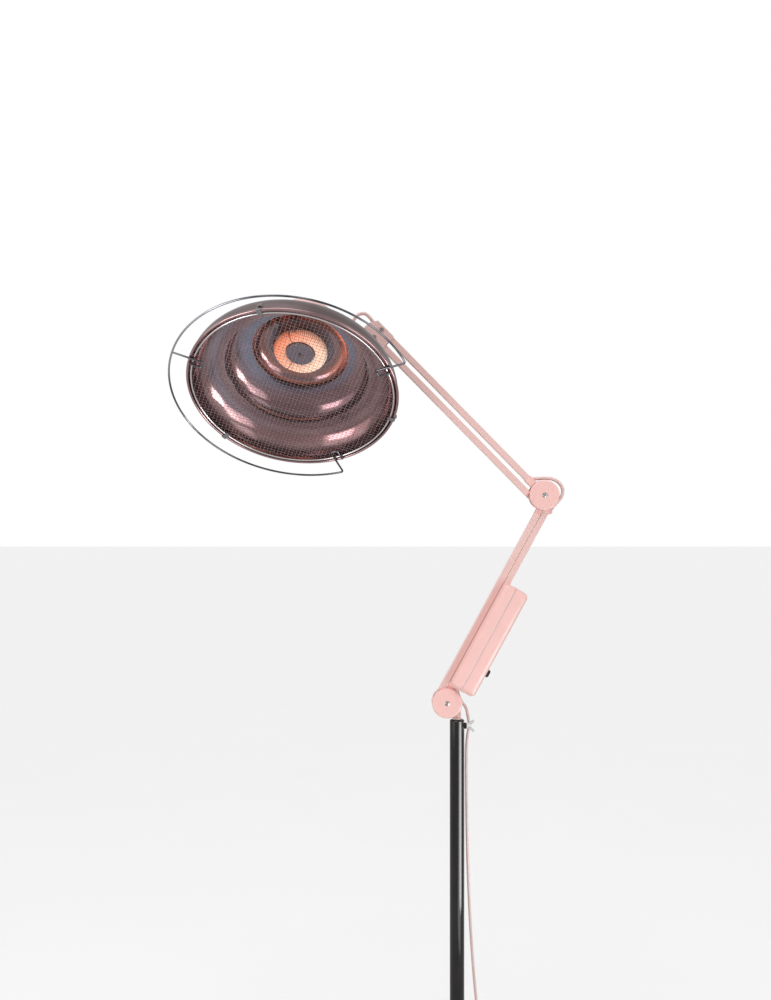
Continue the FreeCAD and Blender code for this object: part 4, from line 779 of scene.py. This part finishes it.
def hairpin_line(side, level):
    """A leg's way in from the hoop, across and back out to its end on the rim."""
    bend = RING_BEND - TIGHTER_BEND
    width = side * HAIRPIN_WIDTH
    quarter = -side * math.pi / 2
    way_in = Vector((LEG_INNER_RADIUS + bend, 0, level))
    corner = Vector((LEG_INNER_RADIUS, width - side * bend, level))
    points = [way_in]
    points += turned_points(way_in + Vector((0, side * bend, 0)), way_in, quarter,
                            HAIRPIN_CHORDS)
    points.append(corner)
    points += turned_points(corner + Vector((bend, 0, 0)), corner, quarter, HAIRPIN_CHORDS)
    points.append(Vector((RIM_RADIUS - WELD_DEPTH, width, level)))
    return points


def ring_lines():
    """The guard ring's two wires: the hoop with its end legs, and the middle leg."""
    level = -BEAD_RADIUS - RING_WIRE - RING_GAP
    centre_radius = RING_RADIUS - RING_BEND
    swing = math.asin(RING_BEND / centre_radius)
    leg_radius = centre_radius * math.cos(swing)

    def leg(angle, side):
        """From the rim, round the hairpin and the outer bend, up to the hoop's arc."""
        line = hairpin_line(-side, level)[::-1]
        leg_top = Vector((leg_radius, 0, level))
        bend_centre = leg_top + Vector((0, side * RING_BEND, 0))
        line.append(leg_top)
        line += turned_points(bend_centre, leg_top, side * (math.pi / 2 + swing), BEND_CHORDS)
        turn = Matrix.Rotation(angle, 3, "Z")
        return [turn @ point for point in line]

    start_leg = leg(RING_START, 1)
    end_leg = leg(RING_END, -1)[::-1]
    sweep = RING_END - RING_START - 2 * swing
    hoop = turned_points(Vector((0, 0, level)), start_leg[-1], sweep, RING_CHORDS)
    middle = [Vector((RING_RADIUS - RING_WIRE, 0, level))] + hairpin_line(-1, level)
    turn = Matrix.Rotation(MIDDLE_LEG, 3, "Z")
    return [start_leg + hoop[:-1] + end_leg, [turn @ point for point in middle]]


def ring_plate():
    """Chrome painted dark as a painted reflection of a dark room, darker and lighter from place
    to place, with a painted glint round the upper left.
    """
    finish = Finish("ring_plate", (0.06, 0.06, 0.07), 0.06, metallic=1.0).use_dish_frame()
    painted_glint = finish.mapped(finish.along(RING_BRIGHT_SIDE), RING_RADIUS * RING_BRIGHT_START * MM,
                           RING_RADIUS * RING_BRIGHT_END * MM, interpolation="SMOOTHSTEP")
    dark = finish.mix(finish.ranged(finish.noise(22, 3.0), 0, 1), (0.04, 0.04, 0.05),
                      (0.16, 0.155, 0.17))
    finish.feed("Base Color", finish.mix(painted_glint, dark, (0.28, 0.28, 0.30)))
    return finish.gloss(300, low=0.05, high=0.12).grain(2500, 2.0, depth=0.00001)


def make_ring():
    ring = ring_plate().cover(tubes("ring_wire", ring_lines(), RING_WIRE))
    in_dish(ring)
    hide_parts("guard_ring")


# ------------ heater
WIRE_TURNS = 78
WIRE_RADIUS = 0.8
WIRE_SIDES = 6
STEPS_PER_TURN = 12
CORE_RADIUS = ELEMENT_TUBE - WIRE_RADIUS
CORE_CHORDS = 23
CORE_ARC_DEG = (0, 345)
CORE_SEGMENTS = 120
# The glow turns from orange at the upper left to pale at the lower right, this far each way
PALE_SIDE = (0.75, 0.66, 0)
PALE_REACH = 0.045
# The share of the glow's strength that is left at the middle of the tube's depth
SHADED_GLOW = 0.35
# How much its duller patches cover at most, and their shade
DULL_SHARE = 0.45
DULL_SHADE = 0.55


def glowing(name, dim, painted_glint, strength):
    """Hot parts of the element, strongest on the side towards the mesh."""
    finish = Finish(name, (0.22, 0.09, 0.05), 0.7).use_dish_frame()
    pale = finish.mapped(finish.along(PALE_SIDE), -PALE_REACH, PALE_REACH)
    dull = finish.ranged(finish.noise(260, 3.0), 0, DULL_SHARE)
    glow = finish.mix(dull, finish.mix(pale, dim, painted_glint), scaled(dim, DULL_SHADE))
    finish.feed("Emission Color", glow)
    depth = finish.add("SeparateXYZ", {0: finish.coordinates}).outputs["Z"]
    finish.feed("Emission Strength", finish.mapped(
        depth, (ELEMENT_DEPTH - ELEMENT_TUBE) * MM, ELEMENT_DEPTH * MM, strength,
        strength * SHADED_GLOW))
    return finish.lights_nothing_directly().grain(900, 3.0, depth=0.0003)


def make_element_core():
    section = ellipse_points((ELEMENT_RADIUS, ELEMENT_DEPTH), CORE_RADIUS, CORE_RADIUS,
                             *CORE_ARC_DEG, CORE_CHORDS)
    core = revolve("element_body", section, CORE_SEGMENTS)
    glowing("element_glow", (0.72, 0.13, 0.05), (0.98, 0.60, 0.38), strength=1.1).cover(core)
    in_dish(core)
    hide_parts("heating_element")


def make_element_wire():
    """The element's wire, wound round its ring-shaped core."""
    line = []
    steps = WIRE_TURNS * STEPS_PER_TURN
    for index in range(steps):
        way = 2 * math.pi * index / steps
        turn = way * WIRE_TURNS
        reach = ELEMENT_RADIUS + CORE_RADIUS * math.cos(turn)
        line.append(Vector((reach * math.cos(way), reach * math.sin(way),
                            ELEMENT_DEPTH - CORE_RADIUS * math.sin(turn))))
    wire = tubes("element_wire", [line], WIRE_RADIUS, WIRE_SIDES, closed=True)
    glowing("wire_glow", (0.95, 0.30, 0.15), (1.0, 0.90, 0.76), strength=1.6).cover(wire)
    in_dish(wire)


# ------------ screws with cross recesses
SCREW_HEAD_RADIUS = 4.6
SCREW_HEAD_HEIGHT = 2.2
SCREW_DOME = 1.4
SHANK_RADIUS = 2.1
SHANK_LENGTH = 9.0
SCREW_SEGMENTS = 48
DOME_ARC_DEG = (0, 88)
DOME_CHORDS = 7
AXIS_RADIUS = 0.001
CROSS_WIDTH = 1.7
CROSS_LENGTH = 6.4
CUTTER_HEIGHT = 2.4
CUTTER_LIFT = 0.1
RECESS_EDGE = 0.01
RECESS_START = 0.25
WALL_NORMAL_Z = 0.1
SEAT_MARGIN = 0.1
# Each pair's body, its centre and how far its crosses are turned, in radians
SCREWS = (("shoulder", SHOULDER, 0.35), ("elbow", ELBOW, 1.0))


def cross_cutter():
    """Two crossed blocks that reach down into the middle of a screw head."""
    blocks = bmesh.new()
    for width, length in ((CROSS_WIDTH, CROSS_LENGTH), (CROSS_LENGTH, CROSS_WIDTH)):
        made = bmesh.ops.create_cube(blocks, size=1.0)["verts"]
        bmesh.ops.scale(blocks, vec=(width, length, CUTTER_HEIGHT), verts=made)
        bmesh.ops.translate(blocks, vec=(0, 0, SCREW_HEAD_HEIGHT + CUTTER_LIFT), verts=made)
    mesh = bpy.data.meshes.new("cross")
    blocks.to_mesh(mesh)
    blocks.free()
    return link("cross", mesh)


def in_recess(polygon):
    """True for the floor and the walls of the cross."""
    x, y, z = polygon.center
    in_cross = min(abs(x), abs(y)) < CROSS_WIDTH / 2 + RECESS_EDGE
    within = math.hypot(x, y) < CROSS_LENGTH / 2 + RECESS_EDGE
    sunk = z < SCREW_HEAD_HEIGHT - RECESS_START or abs(polygon.normal.z) < WALL_NORMAL_Z
    return in_cross and within and sunk and z > SEAT_MARGIN


def cross_screw_mesh():
    """A domed head with a cross recess on a plain shank, in millimetres, z out of the seat."""
    dome = ellipse_points((0, SCREW_HEAD_HEIGHT - SCREW_DOME), SCREW_HEAD_RADIUS, SCREW_DOME,
                          *DOME_ARC_DEG, DOME_CHORDS)
    profile = [(AXIS_RADIUS, -SHANK_LENGTH), (SHANK_RADIUS, -SHANK_LENGTH), (SHANK_RADIUS, 0),
               (SCREW_HEAD_RADIUS, 0)] + dome + [(AXIS_RADIUS, SCREW_HEAD_HEIGHT)]
    head = revolve("screw_head", profile, SCREW_SEGMENTS)
    cutter = cross_cutter()
    cut = head.modifiers.new("cross", "BOOLEAN")
    cut.operation = "DIFFERENCE"
    cut.solver = "EXACT"
    cut.use_self = True
    cut.object = cutter
    graph = bpy.context.evaluated_depsgraph_get()
    finished = bpy.data.meshes.new_from_object(head.evaluated_get(graph))
    bpy.data.objects.remove(head)
    bpy.data.objects.remove(cutter)
    for polygon in finished.polygons:
        polygon.material_index = 1 if in_recess(polygon) else 0
    return finished


def make_cover_screws():
    """A pair of screws on each knuckle's covers."""
    source = cross_screw_mesh()
    finish = plating("screw_plate", (0.34, 0.31, 0.31), 0.12, 0.24)
    recess = plating("screw_recess", (0.03, 0.025, 0.025), 0.3, 0.45)
    for body, centre, spin in SCREWS:
        merged = bmesh.new()
        for side in (-1, 1):
            copy = source.copy()
            out = Vector((0, side, 0))
            right = Vector((1, 0, 0))
            place = frame_matrix(centre + out * COVER_SEAT * MM, right, out.cross(right))
            copy.transform(place @ Matrix.Rotation(spin, 4, "Z") @ Matrix.Scale(MM, 4))
            merged.from_mesh(copy)
            bpy.data.meshes.remove(copy)
        mesh = bpy.data.meshes.new(body + "_screws")
        merged.to_mesh(mesh)
        merged.free()
        shade(mesh, SHARP_DEG)
        screws = finish.cover(link(body + "_screws", mesh))
        screws.data.materials.append(recess.material)
        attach(screws, body)
        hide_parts(body + "_cover_screws")


# ------------ mains lead
CORD_DIAMETER = 5.6 * MM
CORD_SIDES = 12
CORD_HEADING = math.radians(-71)
CORD_AHEAD = Vector((math.cos(CORD_HEADING), 0, math.sin(CORD_HEADING)))
CORD_EXIT = SHOULDER / MM + LOWER_ALONG * 31.6 + LOWER_ACROSS * 4.3 + Vector((0, 22, 0))
CORNER = CORD_EXIT + CORD_AHEAD * 29.5
TOP_DROP = 32
# From here down the lead no longer follows the shoulder, in metres
COIL_CENTRE = Vector((112, 168, 0))

# The route's points, in millimetres
LEAD_TOP = [CORD_EXIT + CORD_AHEAD * 6, CORNER, CORNER + Vector((10.9, -0.6, -11)),
            CORNER + Vector((14.6, -1.8, -TOP_DROP))]
LEAD_DROP = [Vector(place) for place in (
    (25.8, 19.4, 884), (21.8, 19.2, 866), (19.8, 19.0, 845), (19.5, 19.3, 808),
    (19.9, 19.8, 742), (21.0, 21.4, 668), (23.2, 24.6, 592), (26.8, 30.2, 512),
    (32.2, 38.6, 430), (39.6, 50.0, 346), (49.4, 64.6, 262), (60.4, 81.2, 184),
    (70.5, 97.0, 108), (81.0, 109.0, 54), (97.0, 119.0, 20), (116.0, 121.5, 5.6),
    (134.5, 127.0, 3.4), (146.2, 143.0, 3.4))]
LEAD_TAIL = [COIL_CENTRE + Vector(place) for place in (
    (39.4, 17.5, 12.4), (41.4, 28, 11.6), (43.2, 39, 11), (44.6, 50, 11))]

# The coil: the height of each layer and the radii of its turns
COIL_LAYERS = ((3.4, (36.6, 31.0, 25.4)), (8.2, (28.2, 33.8)), (13.0, (36.6, 31.0)))
COIL_START_DEG = -20.0
POINTS_PER_TURN = 14
# The share of a turn after which it moves over to the next
SHIFT_START = 0.6

# The tie round the coil
TIE_ANGLE = math.radians(205)
TIE_REACH = 31.0
TIE_HALF_WIDTH = 8.7
TIE_HALF_HEIGHT = 7.75
TIE_CORNER = 3.4
TIE_THICK = 0.5
TIE_HALF_BAND = 3.0
TIE_FLOOR_GAP = 0.05
TIE_CHORDS = 5
TIE_SHARP_DEG = 40


def coil_points():
    """The put-away turns: three beside each other, two in the gaps above, two on top."""
    points = []
    angle = COIL_START_DEG
    for layer, (height, radii) in enumerate(COIL_LAYERS):
        for turn, radius in enumerate(radii):
            following = radii[turn + 1] if turn + 1 < len(radii) else radius
            for step in range(POINTS_PER_TURN):
                share = step / POINTS_PER_TURN
                shift = max(0.0, (share - SHIFT_START) / (1 - SHIFT_START))
                reach = radius + (following - radius) * shift
                level = height
                if turn + 1 == len(radii) and layer + 1 < len(COIL_LAYERS):
                    level += (COIL_LAYERS[layer + 1][0] - height) * shift
                    reach += (COIL_LAYERS[layer + 1][1][0] - radius) * shift
                at = math.radians(angle)
                points.append(COIL_CENTRE + Vector((reach * math.cos(at),
                                                    reach * math.sin(at), level)))
                angle += 360 / POINTS_PER_TURN
    return points


def make_tie():
    """A flat rubber tie round the coil's turns."""
    middle = Vector((TIE_REACH, 0, TIE_HALF_HEIGHT + TIE_THICK + TIE_FLOOR_GAP))
    loop = []
    for start, side_x, side_z in ((0, 1, 1), (90, -1, 1), (180, -1, -1), (270, 1, -1)):
        centre = (side_x * (TIE_HALF_WIDTH - TIE_CORNER), side_z * (TIE_HALF_HEIGHT - TIE_CORNER))
        loop += ellipse_points(centre, TIE_CORNER, TIE_CORNER, start, start + 90, TIE_CHORDS)
    vertices = []
    for across in (-TIE_HALF_BAND, TIE_HALF_BAND):
        for grow in (0.0, TIE_THICK):
            for x, z in loop:
                scale_x = (TIE_HALF_WIDTH + grow) / TIE_HALF_WIDTH
                scale_z = (TIE_HALF_HEIGHT + grow) / TIE_HALF_HEIGHT
                vertices.append(middle + Vector((x * scale_x, across, z * scale_z)))
    count = len(loop)
    faces = []
    for index in range(count):
        after = (index + 1) % count
        for low, high in ((0, 1), (1, 3), (3, 2), (2, 0)):
            faces.append((low * count + index, low * count + after, high * count + after,
                          high * count + index))
    tie = link("coil_tie", mesh_from("coil_tie", vertices, faces, TIE_SHARP_DEG))
    turn = Matrix.Translation(COIL_CENTRE * MM) @ Matrix.Rotation(TIE_ANGLE, 4, "Z")
    tie.data.transform(turn @ Matrix.Scale(MM, 4))
    rubber().cover(tie)
    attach(tie, "stand")
    return tie


def split_at_height(line, height):
    """A falling line's part down to its first point under a height, and the rest."""
    index = next(index for index, point in enumerate(line) if point.z <= height)
    return line[:index + 1], line[index:]


def make_lead(sheath):
    """The lead: a tube from the lower arm to the shoulder, and one on from there to the coil."""
    controls = LEAD_TOP + LEAD_DROP + coil_points() + LEAD_TAIL
    line = spline_points([point * MM for point in controls])
    top_line, drop_line = split_at_height(line, (CORNER.z - TOP_DROP) * MM)
    top = sheath.cover(tubes("lead_top", [top_line], CORD_DIAMETER / 2))
    drop = sheath.cover(tubes("lead_drop", [drop_line], CORD_DIAMETER / 2, CORD_SIDES))
    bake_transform(top)
    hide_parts("cord_upper")
    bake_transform(drop)
    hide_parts("cord_lower")
    tie = make_tie()


# ------------ cables round the joints
CABLE_DIAMETER = 6.6 * MM
# Points of each cable's way over its knuckle, from the knuckle's centre, in millimetres
ELBOW_WAY = ((-26.8, 0, 31.9), (-13.5, 0, 32.0), (4.0, 0, 33.6), (20.0, 0, 31.4),
             (33.4, 0, 21.6), (38.0, 0, 8.8), (34.6, 0, -5.0))
HEAD_WAY = ((-15.0, 0, 14.2), (-29.5, 0, 33.0), (-43.5, 0, 33.0), (-54.0, 0, 22.2))


def elbow_controls():
    inlet = ELBOW_RIGHT / MM - LOWER_ALONG * 26.5 + LOWER_ACROSS * 7.4
    way = [ELBOW / MM + Vector(step) for step in ELBOW_WAY]
    return way + [inlet + LOWER_ALONG * 12, inlet]


def head_controls():
    start = HEAD_TOP / MM + UPPER_ALONG * 4 + UPPER_ACROSS * 1.2
    way = [HEAD_TOP / MM + Vector(step) for step in HEAD_WAY]
    bolt = SWIVEL / MM
    return [start] + way + [bolt + Vector((0, 0, 18.4)), bolt + Vector((0, 0, 9.0))]


def make_cable(name, controls, sheath):
    """A cable over a knuckle, as two tubes along the two halves of its way."""
    line = spline_points([point * MM for point in controls])
    for number, part in enumerate(halved(line)):
        tube = sheath.cover(tubes(name + "_" + str(number), [part], CABLE_DIAMETER / 2))
        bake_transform(tube)
        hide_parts(name)


# ------------ studio
AMBIENT = 0.32
SKY_STRENGTH = 1.7
SKY_ANGLE = math.radians(50)
SKY_TURN = (math.radians(18), math.radians(-12), 0)
FLOOR_HALF = 30.0
FLOOR_COLOUR = (0.74, 0.74, 0.74)
FLOOR_PATCHES = (0.72, 0.72, 0.72)
FLOOR_LIFT = 0.26

# name, place, what it is aimed at, size, watts
SOFTBOXES = (
    ("left_box", (-1.95, -1.15, 1.25), (-0.25, 0, 1.4), (1.7, 1.7), 13),
    ("right_box", (1.6, -1.8, 1.7), (0.0, 0, 1.3), (1.1, 1.3), 9),
    ("low_box", (1.3, -1.45, 0.35), (0.0, 0, 0.8), (0.4, 0.8), 4))
# Lamps that only gloss and metal show: two in the dish and one along the column
GLINT_DEPTH = 0.05
GLINT_AWAY = 2
DISH_GLINTS = (("left_glint", (-0.70, -0.63, -0.30), (0.75, 0.75), 14),
               ("right_glint", (0.54, -0.57, -0.62), (1.0, 1.15), 13))
COLUMN_GLINT = ("column_glint", (0.43, -0.32, 0.60), (0, 0, 0.65), (0.32, 0.5), 8)


def add_seen_factor(tree):
    """1 for what the camera sees, directly or in metal and glass, else 0."""
    path = add_node(tree, "LightPath")
    seen = path.outputs["Is Camera Ray"]
    for kind in ("Is Glossy Ray", "Is Transmission Ray"):
        either = add_node(tree, "Math", {0: seen, 1: path.outputs[kind]}, operation="MAXIMUM")
        seen = either.outputs[0]
    return seen


def make_floor():
    """A pale floor that is lifted towards the white background for the eye only."""
    mesh = bpy.data.meshes.new("floor")
    corners = [(-FLOOR_HALF, -FLOOR_HALF, 0), (FLOOR_HALF, -FLOOR_HALF, 0),
               (FLOOR_HALF, FLOOR_HALF, 0), (-FLOOR_HALF, FLOOR_HALF, 0)]
    mesh.from_pydata(corners, [], [(0, 1, 2, 3)])
    floor = link("floor", mesh)
    finish = Finish("floor", FLOOR_COLOUR, 0.9, specular=0.1)
    finish.tint(3, FLOOR_PATCHES, share=0.5)
    finish.shader.inputs["Emission Color"].default_value = (1, 1, 1, 1)
    seen = add_seen_factor(finish.tree)
    finish.feed("Emission Strength", finish.maths("MULTIPLY", seen, FLOOR_LIFT))
    finish.lights_nothing_directly().cover(floor)


def add_world():
    """White for the camera and in reflections, softer as a light."""
    world = bpy.data.worlds.new("studio")
    bpy.context.scene.world = world
    world.use_nodes = True
    tree = world.node_tree
    background = tree.nodes["Background"]
    background.inputs["Color"].default_value = (1, 1, 1, 1)
    inputs = {"Value": add_seen_factor(tree), "To Min": AMBIENT, "To Max": 1.0}
    strength = add_node(tree, "MapRange", inputs)
    tree.links.new(strength.outputs["Result"], background.inputs["Strength"])


def add_lamp(name, data):
    lamp = bpy.data.objects.new(name, data)
    bpy.context.scene.collection.objects.link(lamp)
    return lamp


def add_sky_panel():
    data = bpy.data.lights.new("sky_panel", "SUN")
    data.energy = SKY_STRENGTH
    data.angle = SKY_ANGLE
    add_lamp("sky_panel", data).rotation_euler = SKY_TURN


def add_softbox(name, place, target, size, power, only_mirrored=False):
    data = bpy.data.lights.new(name, "AREA")
    data.shape = "RECTANGLE"
    data.size, data.size_y = size
    data.energy = power
    lamp = add_lamp(name, data)
    lamp.location = place
    aim = Vector(target) - Vector(place)
    lamp.rotation_euler = aim.to_track_quat("-Z", "Y").to_euler()
    lamp.visible_diffuse = not only_mirrored
    lamp.visible_camera = False


def make_studio():
    """A white world, a pale floor and the lamps."""
    bpy.context.scene.view_settings.view_transform = "Standard"
    add_world()
    make_floor()
    add_sky_panel()
    for softbox in SOFTBOXES:
        add_softbox(*softbox)
    dish = RIM_CENTRE + DEPTH_AXIS * GLINT_DEPTH
    for name, direction, size, power in DISH_GLINTS:
        place = dish + Vector(direction).normalized() * GLINT_AWAY
        add_softbox(name, place, dish, size, power, only_mirrored=True)
    add_softbox(*COLUMN_GLINT, only_mirrored=True)


add_camera()
finish_nodes()
make_reflector()
make_mesh_wires()
make_mesh_hoop()
make_ring()
make_element_core()
make_element_wire()
make_cover_screws()
SHEATH = pink_sheath()
make_lead(SHEATH)
make_cable("elbow_cable", elbow_controls(), SHEATH)
make_cable("head_cable", head_controls(), SHEATH)
make_studio()
